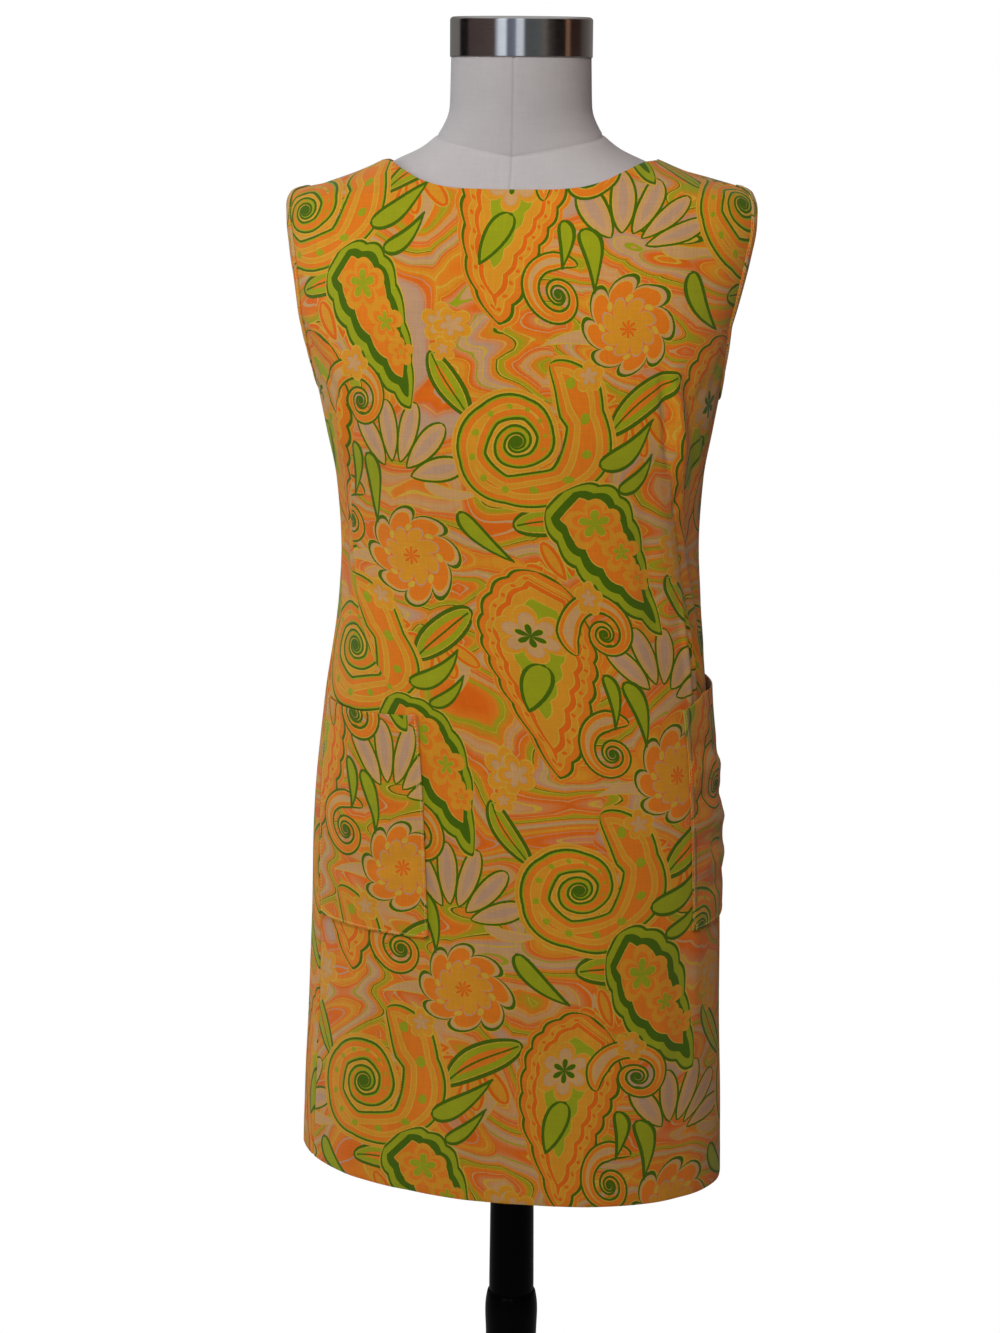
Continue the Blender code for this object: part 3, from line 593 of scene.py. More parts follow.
# %% [markdown]
# ## The front and the two backs
# The front is one piece from side seam to side seam, and the zip parts the backs.
# Columns are crowded at the darts and seams, where the relief is finest.

# %% Panels
SKIRT_ROWS, ARMHOLE_ROWS, YOKE_ROWS = 150, 54, 18
CROWDING = 0.78  # how much closer columns lie at a dart than between
NECK_ALLOWANCE = 0.0035
SEARCH_BELOW, SEARCH_LEVELS = 0.004, 60  # where each column's top is looked for, from under the neck


def crowd(count):
    """Shares from 0 to 1, closer together at both ends."""
    t = np.linspace(0, 1, count + 1)
    return t - CROWDING * np.sin(tau * t) / tau


def column_layout(counts):
    """For each column of a panel, the section between two lines it is in and its share of it."""
    section, share = [], []
    for k, count in enumerate(counts):
        ends = crowd(count)
        kept = ends if k == len(counts) - 1 else ends[:-1]
        section += [k] * len(kept)
        share += list(kept)
    return np.array(section), np.array(share)


def column_along(heights, lines, section, share):
    """Where each column is round the rings, rows by columns."""
    places = np.stack([line(heights) for line in lines])
    index = np.arange(heights.shape[1])
    low = places[section, :, index].T
    high = places[section + 1, :, index].T
    return low + share * (high - low)


def neck_tops(lines, section, share, centre_height):
    """Where each column meets the neckline."""
    levels = np.linspace(centre_height - SEARCH_BELOW, NECK_POINT, SEARCH_LEVELS)
    heights = np.repeat(levels[:, None], len(section), axis=1)
    x = on_rings(column_along(heights, lines, section, share), heights)[..., 0]
    above = np.maximum.accumulate(heights - neckline(x, centre_height), axis=0)
    return np.array([np.interp(0, above[:, c], levels) for c in range(len(section))])


def panel_rows(foot, tops):
    """(height of each column, out) for each row: turned hem, skirt, armhole, yoke, turned neck."""
    rows = turned_over(foot, depth=HEM_ALLOWANCE)
    rows += [(foot + TURN_RADIUS + (UNDERARM - foot - TURN_RADIUS) * k / SKIRT_ROWS, 0)
             for k in range(1, SKIRT_ROWS)]
    for k in range(ARMHOLE_ROWS):
        share = (1 - cos(pi * k / ARMHOLE_ROWS)) / 2
        rows.append((np.full(len(tops), UNDERARM + share * (SHOULDER_TIP - UNDERARM)), 0))
    last = tops - TURN_RADIUS
    rows += [(SHOULDER_TIP + (last - SHOULDER_TIP) * k / YOKE_ROWS, 0) for k in range(YOKE_ROWS)]
    neck = turned_over(tops, levels=3, depth=NECK_ALLOWANCE, way=-1.0)
    return rows + neck[::-1]


BACK_CUT = 0.262  # from the middle of the front to that of the back on the bolt


def panel(name, lines, counts, centre_height, where, takes, side=0):
    """A cut piece between two edges, by way of its darts. side is 0 for the front.

    takes is, for each section, the share of the dart's intake by which it lies further round
    in the flat cloth.
    """
    section, share = column_layout(counts)
    tops = neck_tops(lines, section, share, centre_height)
    level = np.full((1, len(section)), HEM)
    hem_x = on_rings(column_along(level, lines, section, share), level)[0, :, 0]
    rows = panel_rows(HEM - HEM_DIP * hem_x, tops)
    heights = np.array([row[0] for row in rows])
    out = np.array([row[1] for row in rows])[:, None]
    along = column_along(heights, lines, section, share)
    points = cloth(along, heights, out)
    u = along - slip(heights) - side * (girth(heights) - BACK_CUT)
    steps = np.linalg.norm(np.diff(points, axis=0), axis=2)
    steps = np.sqrt(np.maximum(steps ** 2 - np.diff(u, axis=0) ** 2, (0.1 * steps) ** 2))
    risen = np.concatenate([np.zeros((1, len(section))), steps.cumsum(axis=0)])
    bust_row = len(turned_over(0)) + SKIRT_ROWS - 1
    v = risen - risen[bust_row] + UNDERARM
    taken = dart_strength(heights, where) * DART_TAKES[where]
    shift = taken[:, :-1] * np.array(takes)[section[:-1]]
    thing = cloth_piece(name, points, corner_places(u, v, shift=shift))
    flat = (risen[-1].max(), u.max() - u.min() + DART_TAKES[where] * np.ptp(takes))
    print(f"{name}: {len(thing.data.polygons)} faces, cut {flat[1]:.3f} x {flat[0]:.3f} m")
    return thing, flat


front, front_cut = panel(
    "dress_front_cloth",
    [front_edge(-1), front_dart(-1), front_dart(1), front_edge(1)],
    (34, 74, 34), FRONT_NECK, "front", (-1, 0, 1))
back_left, back_cut = panel(
    "dress_back_left_cloth",
    [back_edge(1), back_dart(1), back_middle(1)],
    (40, 32), BACK_NECK, "back", (-1, 0), 1)
back_right, _ = panel(
    "dress_back_right_cloth",
    [back_middle(-1), back_dart(-1), back_edge(-1)],
    (32, 40), BACK_NECK, "back", (0, 1), -1)

# %% [markdown]
# ## Stitches
# Top stitching is a row of separate stitches, each dipping into the cloth at both
# ends. So short spindles of thread are laid along a line, all in one mesh. A tube
# along the whole seam would look like piping.

# %% Laying stitches
STITCH, STITCH_PITCH, THREAD = 0.0025, 0.0031, 0.00021
# Rings of a stitch: the share of its length, the share of the thread's radius, and the lift in radii.
SPINDLE = ((0, 0.3, -0.9), (0.14, 0.85, -0.1), (0.5, 1, 0.35), (0.86, 0.85, -0.1), (1, 0.3, -0.9))
SIDES = 6
THREAD_OUT = 0.00012  # how far the thread's middle lies off the cloth


def run_of(points):
    """The length along a line up to each of its points."""
    return np.concatenate([[0.0], np.linalg.norm(np.diff(points, axis=0), axis=1).cumsum()])


def read_at(place, run, values):
    return np.array([np.interp(place, run, values[:, axis]) for axis in range(3)])


def stitches(name, routes):
    """Spindles of thread along routes, each a pair of arrays: points and outward directions."""
    vertices, faces = [], []
    angles = np.arange(SIDES) * tau / SIDES
    for points, normals in routes:
        run = run_of(points)
        for begin in np.arange(int(run[-1] / STITCH_PITCH)) * STITCH_PITCH:
            start, end = read_at(begin, run, points), read_at(begin + STITCH, run, points)
            out = read_at(begin + STITCH / 2, run, normals)
            aside = np.cross(end - start, out)
            aside /= np.linalg.norm(aside)
            around_it = np.outer(np.cos(angles), aside) + np.outer(np.sin(angles), out)
            first = len(vertices)
            for share, width, lift in SPINDLE:
                centre = start + share * (end - start) + out * lift * THREAD
                vertices += (centre + width * THREAD * around_it).tolist()
            last = first + SIDES * (len(SPINDLE) - 1)
            for low in range(first, last, SIDES):
                quads = [(low + i, low + (i + 1) % SIDES) for i in range(SIDES)]
                faces += [(a, a + SIDES, b + SIDES, b) for a, b in quads]
            faces += [tuple(range(first, first + SIDES)), tuple(reversed(range(last, last + SIDES)))]
    print(f"{name}: {len(vertices) // (SIDES * len(SPINDLE))} stitches")
    return link(name, smooth_mesh(name, vertices, faces))


# %% [markdown]
# ## Patch pockets
# A patch pocket is a rectangle of cloth, its edges pressed under, stitched to the
# front at the sides and the foot, and its open top sags off the dress a little.
# It is made from the front's own places, moved out.

# %% Pockets
POCKET_INNER, POCKET_SIDE = 0.12, 0.007  # from the middle, and from the side seam
POCKET_FOOT, POCKET_TOP = 0.738, 0.934
POCKET_SWELL = {1: 0.0062, -1: 0.005}
POCKET_SEWN = 0.0016  # height of its face over the front, along the seam
POCKET_EDGE = 0.0009  # how much more its pressed edge stands off
POCKET_LEAST = 0.0009  # how close any of it comes to the front
POCKET_GAPE = {1: 0.003, -1: 0.0034}
POCKET_SAG = 0.0022
POCKET_HEM, POCKET_HEM_LEVELS = 0.022, 6
POCKET_LIFT = {1: 0.0115, -1: 0.0}  # how much higher the top hangs at its outer end
POCKET_LIFT_FROM = 0.35  # the share of its width over which that grows
POCKET_SEAM = 0.0016  # from the edge to the stitches
POCKET_BREADTH = 0.125  # about what lies between its side edges
POCKET_CLOSE = 0.8  # the share of the front's relief that its middle bridges
POCKET_CUT = {1: (-0.118, 0.04), -1: (0.052, -0.118)}  # where on the bolt it is cut, from its place here
POCKET_TURN = (  # an edge pressed under: past the edge, and down from the face
    (-0.005, 0.0012), (-0.0015, 0.0012), (0, 0.0011), (0.00039, 0.00094), (0.00055, 0.00055),
    (0.00039, 0.00016))
# Crumples between two places on a pocket, given as shares across from the inner edge and up.
CRUMPLES = table("side across up end_across end_up breadth depth", (
    (1, 0.05, 0.83, 0.62, 0.72, 0.034, 0.0018), (1, 0.1, 0.7, 0.6, 0.66, 0.04, -0.002),
    (1, 0.04, 0.6, 0.7, 0.52, 0.03, 0.0022), (1, 0.2, 0.47, 0.66, 0.42, 0.034, -0.0022),
    (1, 0.06, 0.4, 0.5, 0.33, 0.028, 0.0018), (1, 0.18, 0.27, 0.7, 0.26, 0.034, -0.0016),
    (1, 0.08, 0.16, 0.62, 0.17, 0.03, 0.0018), (1, 0.3, 0.9, 0.42, 0.55, 0.06, -0.0012),
    (-1, 0.1, 0.7, 0.46, 0.8, 0.04, 0.001), (-1, 0.3, 0.52, 0.86, 0.6, 0.045, 0.0012),
    (-1, 0.16, 0.34, 0.6, 0.26, 0.04, 0.001), (-1, 0.55, 0.92, 0.62, 0.4, 0.07, -0.001),
))
CRUMPLE_END = 0.1  # how softly a crumple ends


def crumple_rise(side, share, rise):
    """How far the crumples lift a pocket's face."""
    lift = np.zeros(np.broadcast(share, rise).shape)
    for way, *line, breadth, depth in zip(*CRUMPLES.values()):
        if way == side:
            _, aside, past, _ = beside(share, rise, line)
            lift -= depth * ripple(aside, breadth) * ripple(past, CRUMPLE_END)
    return lift


def pocket_surface(side, share, rise):
    """Round the ring, height, out and closeness to the front, at shares of a pocket."""
    height = POCKET_FOOT + (POCKET_TOP - POCKET_FOOT) * rise
    height = height - POCKET_SAG * np.sin(pi * share) * rise ** 3
    height = height + POCKET_LIFT[side] * np.minimum(share / POCKET_LIFT_FROM, 1) * rise ** 2
    outer_edge = quarter(height) - POCKET_SIDE
    along = slip(height) + side * (POCKET_INNER + share * (outer_edge - POCKET_INNER))
    from_edge = np.minimum(np.minimum(share, 1 - share) * (outer_edge - POCKET_INNER),
                           rise * (POCKET_TOP - POCKET_FOOT))
    bulge = np.sin(pi * held(share)) ** 0.7
    swell = POCKET_SWELL[side] * np.sqrt(held(rise)) * (1 - 0.6 * rise ** 2)
    gape = POCKET_GAPE[side] * held(rise) ** 8 * np.sin(pi * share * 0.93)
    crumple = crumple_rise(side, share, rise) * held(8 * bulge * rise)
    close = 1 - POCKET_CLOSE * bulge * held(4 * rise)
    edge = POCKET_SEWN + POCKET_EDGE * np.exp(-np.maximum(from_edge, 0) / 0.0012)
    return along, height, edge + bulge * (swell + gape) + crumple, close


def pocket(name, side, across=60, up=60):
    rises = np.concatenate([[0.0, 0.004, 0.009, 0.016], np.linspace(0.026, 1, up)])
    share, rise = np.meshgrid(crowd(across), rises)
    along, height, out, close = pocket_surface(side, share, rise)
    # the open top is turned inside
    top = turned_over(height[-1], levels=POCKET_HEM_LEVELS, depth=POCKET_HEM, way=-1.0)[::-1]
    folded = [grid[:-1] for grid in (along, height, out, close)]
    for level, drop in top:
        below = (height[-1] - level) / (POCKET_TOP - POCKET_FOOT)
        row_along, _, row_out, row_close = pocket_surface(side, share[-1], np.minimum(1 - below, 1))
        row = (row_along, level, row_out + drop, row_close)
        folded = [np.concatenate([grid, line[None]]) for grid, line in zip(folded, row)]
    # the sides and the foot are pressed under
    past, drop = np.array(POCKET_TURN).T
    ends = []
    for at, way in ((slice(0, 1), -side), (slice(-1, None), side)):
        along, height, out, close = (np.repeat(grid[:, at], len(past), axis=1) for grid in folded)
        ends.append((along + way * past, height, out - drop, close))
    along, height, out, close = (np.concatenate([first, grid, last[:, ::-1]], axis=1)
                                 for first, grid, last in zip(ends[0], folded, ends[1]))
    past, drop = past[:, None], drop[:, None]
    along, close = (np.concatenate([grid[:1] + 0 * past, grid]) for grid in (along, close))
    height = np.concatenate([height[:1] - past, height])
    out = np.concatenate([np.minimum(out[:1], POCKET_SEWN + POCKET_EDGE - drop), out])
    out = np.maximum(out, POCKET_LEAST)
    if side < 0:
        along, height, out, close = (grid[:, ::-1] for grid in (along, height, out, close))
    points = cloth(along, height, out, close)
    u, v = along - slip(height) + POCKET_CUT[side][0], height + POCKET_CUT[side][1]
    thing = cloth_piece(name, points, corner_places(u, v))
    print(f"{name}: {len(thing.data.polygons)} faces")
    return thing


def pocket_route(side, shares, rises):
    share, rise = np.broadcast_arrays(np.asarray(shares, float), np.asarray(rises, float))
    along, height, out, close = pocket_surface(side, share, rise)
    return cloth(along, height, out + THREAD_OUT, close), ring_normals(along, height)


def pocket_stitches(name, side):
    inset_across, inset_up = POCKET_SEAM / POCKET_BREADTH, POCKET_SEAM / (POCKET_TOP - POCKET_FOOT)
    up = np.linspace(0.995, inset_up, 160)
    over = np.linspace(inset_across, 1 - inset_across, 120)
    return stitches(name, [
        pocket_route(side, inset_across, up),
        pocket_route(side, over, inset_up),
        pocket_route(side, 1 - inset_across, up[::-1]),
    ])


pocket_left = pocket("pocket_left_cloth", 1)
pocket_right = pocket("pocket_right_cloth", -1)
pocket_left_stitches = pocket_stitches("pocket_left_stitches", 1)
pocket_right_stitches = pocket_stitches("pocket_right_stitches", -1)

# %% [markdown]
# ## Bound armholes
# A narrow band of the same cloth is folded over each armhole and sewn down. Its
# section is drawn once and carried round the armhole's loop.

# %% Armhole bands
BAND_WIDTH = 0.0075
BAND_SEAM, BAND_SEAM_OUT = 0.0016, 0.00136  # its stitches, from its edge and off the panel's face
BAND_CUT = 0.087  # where on the bolt the bands are cut
# Steps of the section: into the panel from the armhole's edge, and out from the panel's face.
BAND_SECTION = (
    (0.0048, -0.002), (0.0022, -0.002), (0.0004, -0.0019), (-0.0006, -0.0014), (-0.001, -0.0005),
    (-0.0009, 0.0005), (-0.0002, 0.0012), (0.0012, 0.0014), (0.003, 0.0014), (0.005, 0.0013),
    (0.0066, 0.0012), (0.0073, 0.0009), (0.0076, 0.0004), (0.0075, 0.0001),
)


def armhole_loop(side, count=40):
    """The armhole's edge, up its front and down its back, as places along and height."""
    rising = UNDERARM + (SHOULDER_TIP - UNDERARM) * (1 - np.cos(pi * np.arange(count + 1) / count)) / 2
    falling = rising[1:-1][::-1]
    height = np.concatenate([rising, falling])
    along = np.concatenate([
        quarter(rising) - armhole_reach(rising, ARMHOLE_FRONT[side]),
        quarter(falling) + armhole_reach(falling, ARMHOLE_BACK),
    ])
    return side * along, height


def even_loop(along, height, step=0.0024, rounding=3):
    """The loop with its points evenly spaced and its four meeting points eased."""
    points = on_rings(along, height)
    run = run_of(np.concatenate([points, points[:1]]))
    count = int(run[-1] / step)
    at = np.arange(count) * run[-1] / count
    loop = [np.interp(at, run, np.append(values, values[0])) for values in (along, height)]
    for _ in range(rounding):
        loop = [0.5 * v + 0.25 * (np.roll(v, 1) + np.roll(v, -1)) for v in loop]
    return loop[0], loop[1], run[-1]


def into_panel(along, height, side):
    """For each point of a loop, how along and height change for a metre away from the armhole."""
    edge = on_rings(along, height)
    ahead = np.roll(edge, -1, axis=0) - np.roll(edge, 1, axis=0)
    away = np.cross(ring_normals(along, height), ahead) * side
    away /= np.linalg.norm(away, axis=1, keepdims=True)
    per_along = (on_rings(along + NUDGE, height) - edge) / NUDGE
    per_height = (on_rings(along, height + NUDGE) - edge) / NUDGE
    moves = [np.linalg.lstsq(np.stack([a, h], axis=1), m, rcond=None)[0]
             for a, h, m in zip(per_along, per_height, away)]
    return np.array(moves)


def armhole_band(name, side):
    along, height, around_it = even_loop(*armhole_loop(side))
    moves = into_panel(along, height, side)
    section = np.array(BAND_SECTION)
    order = slice(None, None, -1) if side > 0 else slice(None)
    widths, out = section[order, 0], section[order, 1]
    grid_along = along[:, None] + moves[:, :1] * widths
    grid_height = height[:, None] + moves[:, 1:] * widths
    points = cloth(grid_along, grid_height, out[None, :] * np.ones_like(grid_along))
    u = run_of(section[order])[None, :] + 0 * grid_along + BAND_CUT
    v = (np.arange(len(along)) * around_it / len(along))[:, None] + 0 * grid_along
    thing = cloth_piece(name, points, corner_places(u, v, closed=True), closed=True)
    print(f"{name}: {around_it:.3f} m round")
    sewn = [values + moves[:, k] * (BAND_WIDTH - BAND_SEAM) for k, values in enumerate((along, height))]
    sewn = [np.append(values, values[0]) for values in sewn]
    sewing = stitches(name.replace("_cloth", "_stitches"), [(
        cloth(*sewn, BAND_SEAM_OUT), ring_normals(*sewn))])
    return thing, sewing, around_it


band_left, band_left_stitches, band_length = armhole_band("armhole_band_left_cloth", 1)
band_right, band_right_stitches, _ = armhole_band("armhole_band_right_cloth", -1)

# %% [markdown]
# ## The zip
# Each of two woven tapes has a row of metal teeth along its edge. The zip lies
# behind the backs, so only a line of teeth shows. All the teeth are one mesh, as
# hundreds of objects would be slow.

# %% Tapes and teeth
ZIP_TAPE, TAPE_WALL = 0.022, 0.0006
TAPE_BEHIND, TOOTH_BEHIND = 0.0024, 0.0018  # their near faces, behind the dress's outer face
TAPE_GAP = 0.018  # between the two tapes, as a share of their breadth
BEAD, BEAD_AT, BEAD_BREADTH = 0.0004, 0.001, 0.0006  # the thick edge of each tape
TOOTH, TOOTH_BEVEL = (0.0024, 0.0009, 0.00115), 0.00022
TOOTH_PITCH, TOOTH_ASIDE = 0.0019, 0.00075
BOTTOM_STOP, STOP_BEVEL = (0.0052, 0.0012, 0.0016), 0.0003
ZIP_TOP = BACK_NECK - 0.0045
TEETH_FROM, TEETH_SPARE = 0.004, 0.01  # from the zip's foot, and what they stop short of the slider


def box_at(bm, size, turn, bevel):
    box = bmesh.ops.create_cube(bm, size=1.0, matrix=turn @ Matrix.Diagonal((*size, 1)))
    edges = {edge for vertex in box["verts"] for edge in vertex.link_edges}
    bmesh.ops.bevel(bm, geom=list(edges), offset=bevel, segments=1, affect="EDGES")


def mesh_of(bm, name):
    mesh = bpy.data.meshes.new(name)
    bm.to_mesh(mesh)
    bm.free()
    return link(name, mesh)


def back_frame(height, out=0.0):
    """A place at the centre back: across, out and up as a matrix's axes."""
    along, height = np.array(slip(height) + girth(height)), np.array(float(height))
    place = Vector(cloth(along, height, out, 0))
    outward = Vector(ring_normals(along, height)).normalized()
    across = outward.cross(Vector((0, 0, 1))).normalized()
    up = across.cross(outward).normalized()
    turn = Matrix((across, outward, up)).transposed().to_4x4()
    return Matrix.Translation(place) @ turn


def zip_tapes():
    heights = np.linspace(ZIP_FOOT, ZIP_TOP, 160)[:, None]
    half = np.linspace(TAPE_GAP, 0.5, 9) * ZIP_TAPE
    offsets = np.concatenate([-half[::-1], half])
    along = slip(heights) + girth(heights) + offsets
    bead = BEAD * ripple(np.abs(offsets) - BEAD_AT, BEAD_BREADTH)
    points = cloth(along, heights, -TAPE_BEHIND + bead[None, :], 0)
    both = cloth_piece("zip_tapes", points, corner_places(along - slip(heights), heights + 0 * along),
                       thickness=TAPE_WALL)
    mesh = both.data
    bm = bmesh.new()
    bm.from_mesh(mesh)
    middle = [f for f in bm.faces if len(offsets) // 2 - 1 == f.index % (len(offsets) - 1)]
    bmesh.ops.delete(bm, geom=middle, context="FACES")
    bm.to_mesh(mesh)
    bm.free()
    return both


def zip_teeth():
    bm = bmesh.new()
    count = int((SLIDER_HEIGHT - ZIP_FOOT - TEETH_SPARE) / (TOOTH_PITCH / 2))
    for k in range(count):
        aside = TOOTH_ASIDE if k % 2 else -TOOTH_ASIDE
        turn = back_frame(ZIP_FOOT + TEETH_FROM + k * TOOTH_PITCH / 2, -TOOTH_BEHIND)
        box_at(bm, TOOTH, turn @ Matrix.Translation((aside, 0, 0)), TOOTH_BEVEL)
    box_at(bm, BOTTOM_STOP, back_frame(ZIP_FOOT + TEETH_FROM / 2, -TOOTH_BEHIND), STOP_BEVEL)
    teeth = mesh_of(bm, "zip_teeth")
    print(f"{count} teeth and the bottom stop, {len(teeth.data.polygons)} faces")
    return teeth


tapes = zip_tapes()
teeth = zip_teeth()

# %% [markdown]
# ## Slider and pull
# The slider has a bridge that the pull tab hangs from. Both are outlines raised to
# a thickness, with bevelled edges, as die-cast parts have no sharp edge.

# %% Slider
SLIDER_SIZE = Vector((0.0046, 0.0024, 0.009))
PULL_SIZE = Vector((0.005, 0.001, 0.024))
PULL_WINDOW = Vector((0.003, 0, 0.0044))
PULL_HINGE = Vector((0, 0.0026, 0.0011))
PULL_WAIST, PULL_CORNER = 0.8, 0.0008
BRIDGE_BAR, BRIDGE_WIDTH = 0.0008, 0.0014
BRIDGE_REACH, BRIDGE_RISE = 0.0056, 0.0032
ROUNDING = 0.0012  # of the slider's shoulders and the bridge's corners


def raised_outline(name, outline, thickness, bevel, sideways=False):
    """An outline of (across, up) raised to a thickness about its middle, as an object at the slider."""
    def at(a, b, out):
        return (out, a, b) if sideways else (a, out, b)
    bm = bmesh.new()
    ends = [[bm.verts.new(at(a, b, side * thickness / 2)) for a, b in outline] for side in (-1, 1)]
    bm.faces.new(ends[0])
    bm.faces.new(list(reversed(ends[1])))
    count = len(outline)
    for k in range(count):
        after = (k + 1) % count
        bm.faces.new((ends[0][after], ends[0][k], ends[1][k], ends[1][after]))
    bmesh.ops.recalc_face_normals(bm, faces=bm.faces)
    return eased(mesh_of(bm, name), zip_place, bevel)


def eased(thing, place, width):
    thing.matrix_world = place
    bevel = thing.modifiers.new("eased edges", "BEVEL")
    bevel.width = width
    bevel.segments = 2
    bevel.limit_method = "ANGLE"
    thing.data.shade_smooth()
    thing.data.set_sharp_from_angle(angle=pi / 5)
    return thing


def arc(centre, radius, start, end, count):
    angles = np.linspace(start, end, count)
    return [(centre[0] + radius * cos(a), centre[1] + radius * sin(a)) for a in angles]


zip_place = back_frame(SLIDER_HEIGHT)
half, tall = SLIDER_SIZE.x / 2, SLIDER_SIZE.z / 2
shoulders = arc((half - ROUNDING, tall - ROUNDING), ROUNDING, 0, pi / 2, 5)
shoulders += [(0.0005, tall), (0, tall - 0.0007), (-0.0005, tall)]
shoulders += arc((ROUNDING - half, tall - ROUNDING), ROUNDING, pi / 2, pi, 5)
waist = [(half - 0.0012, -tall), (half - 0.0006, 0.0006 - tall), (half - 0.0003, 0)]
waist = [(-a, b) for a, b in reversed(waist)] + waist
slider = raised_outline("zip_slider_body", shoulders + waist, SLIDER_SIZE.y, 0.00028)

foot, top, reach = SLIDER_SIZE.y / 2 - 0.0003, SLIDER_SIZE.y / 2 + BRIDGE_RISE, BRIDGE_REACH / 2
low, high = (top - ROUNDING, ROUNDING - reach), (top - ROUNDING, reach - ROUNDING)  # its corners' middles
inside = ROUNDING - BRIDGE_BAR
bow = [(foot, -reach), *arc(low, ROUNDING, -pi / 2, 0, 5), *arc(high, ROUNDING, 0, pi / 2, 5), (foot, reach)]
bow += [(foot, reach - BRIDGE_BAR), *arc(high, inside, pi / 2, 0, 4), *arc(low, inside, 0, -pi / 2, 4),
        (foot, BRIDGE_BAR - reach)]
bridge = raised_outline("zip_slider_bridge", bow, BRIDGE_WIDTH, 0.00016, sideways=True)


def pull_tab():
    """The tab: a tapered plate with a round end and a window for the bridge."""
    half, hole = PULL_SIZE.x / 2, PULL_WINDOW.x / 2
    rail = half - hole
    low = rail / 2 - PULL_SIZE.z + half
    flank = [(half * PULL_WAIST, low + 0.45 * (rail / 2 - low)), (half, rail / 2 - PULL_CORNER),
             (half - PULL_CORNER, rail / 2)]
    outer = arc((0, low), half, pi, tau, 13) + flank + [(-a, b) for a, b in reversed(flank)]
    window = [(-hole, -rail / 2 - PULL_WINDOW.z), (hole, -rail / 2 - PULL_WINDOW.z),
              (hole, -rail / 2), (-hole, -rail / 2)]
    bm = bmesh.new()
    rings = []
    for outline in (outer, window):
        verts = [bm.verts.new((x, 0, z)) for x, z in outline]
        rings += [bm.edges.new((verts[k], verts[(k + 1) % len(verts)])) for k in range(len(verts))]
    bmesh.ops.triangle_fill(bm, edges=rings, use_beauty=True)
    lifted = bmesh.ops.extrude_face_region(bm, geom=list(bm.faces))
    moved = [v for v in lifted["geom"] if isinstance(v, bmesh.types.BMVert)]
    bmesh.ops.translate(bm, vec=(0, PULL_SIZE.y, 0), verts=moved)
    bmesh.ops.translate(bm, vec=(0, -PULL_SIZE.y / 2, 0), verts=bm.verts)
    bmesh.ops.recalc_face_normals(bm, faces=bm.faces)
    return eased(mesh_of(bm, "zip_pull_tab"), zip_place @ Matrix.Translation(PULL_HINGE), 0.00018)


pull = pull_tab()
print("slider at", tuple(round(v, 4) for v in zip_place.translation))

# %% [markdown]
# ## The form under its linen cover
# The form is a padded shell under a linen cover. Its seams are fine grooves: round
# the base of the neck, down the centre front and back, and round the arm plates.

# %% Form
FORM_AROUND = 180
FORM_CROWDING = 0.86  # how much closer its columns lie at the front, the back and the sides
NECK_SEAM = table("share height", (
    (0, 1.4025), (0.1, 1.4058), (0.25, 1.4125), (0.5, 1.42), (0.8, 1.424), (1, 1.425),
))
FORM_SEAM, FORM_SEAM_BREADTH = 0.0012, 0.0011
ALLOWANCE_WIDTH = 0.0105  # of the seam allowance that shows through beside the front seam
PLATE_MIDDLE, PLATE_HALF_WIDTH, PLATE_HALF_HEIGHT = 1.285, 0.048, 0.066
PLATE_RISE, PLATE_EDGE = 0.0008, 0.0008


def form_relief(along, height):
    """How far the cover's seams lie in, and the arm plates stand out."""
    half = girth(height, FORM)
    wrapped = (along + half) % (2 * half) - half
    share = np.abs(wrapped) / half
    seam = smooth(share, NECK_SEAM["share"], NECK_SEAM["height"])
    depth = FORM_SEAM * ripple(height - seam, FORM_SEAM_BREADTH * 1.1)
    for away in (wrapped, half - np.abs(wrapped)):
        depth += 0.7 * FORM_SEAM * ripple(away, FORM_SEAM_BREADTH)
    allowance = 0.35 * FORM_SEAM * ripple(wrapped + ALLOWANCE_WIDTH, FORM_SEAM_BREADTH * 1.4)
    depth += np.where(height < seam, allowance, 0)
    across = (np.abs(wrapped) - quarter(height, FORM)) / PLATE_HALF_WIDTH
    off = np.hypot(across, (height - PLATE_MIDDLE) / PLATE_HALF_HEIGHT) - 1
    depth += FORM_SEAM * ripple(off * PLATE_HALF_WIDTH, FORM_SEAM_BREADTH * 1.3)
    return PLATE_RISE * rise_over(-off * PLATE_HALF_WIDTH, PLATE_EDGE) - depth


def form_cover():
    first, last = FORM["height"][0], FORM["height"][-1]
    steps = ((first + 0.012, 8), (1.2, 70), (1.4, 70), (1.435, 30), (last, 20))  # up to, and rows
    levels, low = [first], first
    for high, rows in steps:
        levels += np.linspace(low, high, rows)[1:].tolist()
        low = high
    t = np.linspace(-1, 1, FORM_AROUND + 1)
    t = t - FORM_CROWDING * np.sin(tau * t) / tau
    height, share = np.meshgrid(levels, t, indexing="ij")
    along = share * girth(height, FORM)
    out = form_relief(along, height)
    points = on_rings(along, height, FORM) + ring_normals(along, height, FORM) * out[..., None]
    under = points[0] * np.array([0.5, 0.5, 1])
    points = np.concatenate([under[None], points])
    along, height = np.concatenate([along[:1] * 0.5, along]), np.concatenate([height[:1] - 0.08, height])
    mesh = grid_mesh("form_linen", points, corner_places(along, height))
    bm = bmesh.new()
    bm.from_mesh(mesh)
    bmesh.ops.remove_doubles(bm, verts=bm.verts, dist=0.00002)
    bmesh.ops.holes_fill(bm, edges=[e for e in bm.edges if e.is_boundary], sides=0)
    bmesh.ops.recalc_face_normals(bm, faces=bm.faces)
    for face in bm.faces:
        face.smooth = len(face.verts) < 8
    bm.to_mesh(mesh)
    bm.free()
    print(f"form: {len(mesh.polygons)} faces")
    return link("form_linen", mesh)


linen_form = form_cover()

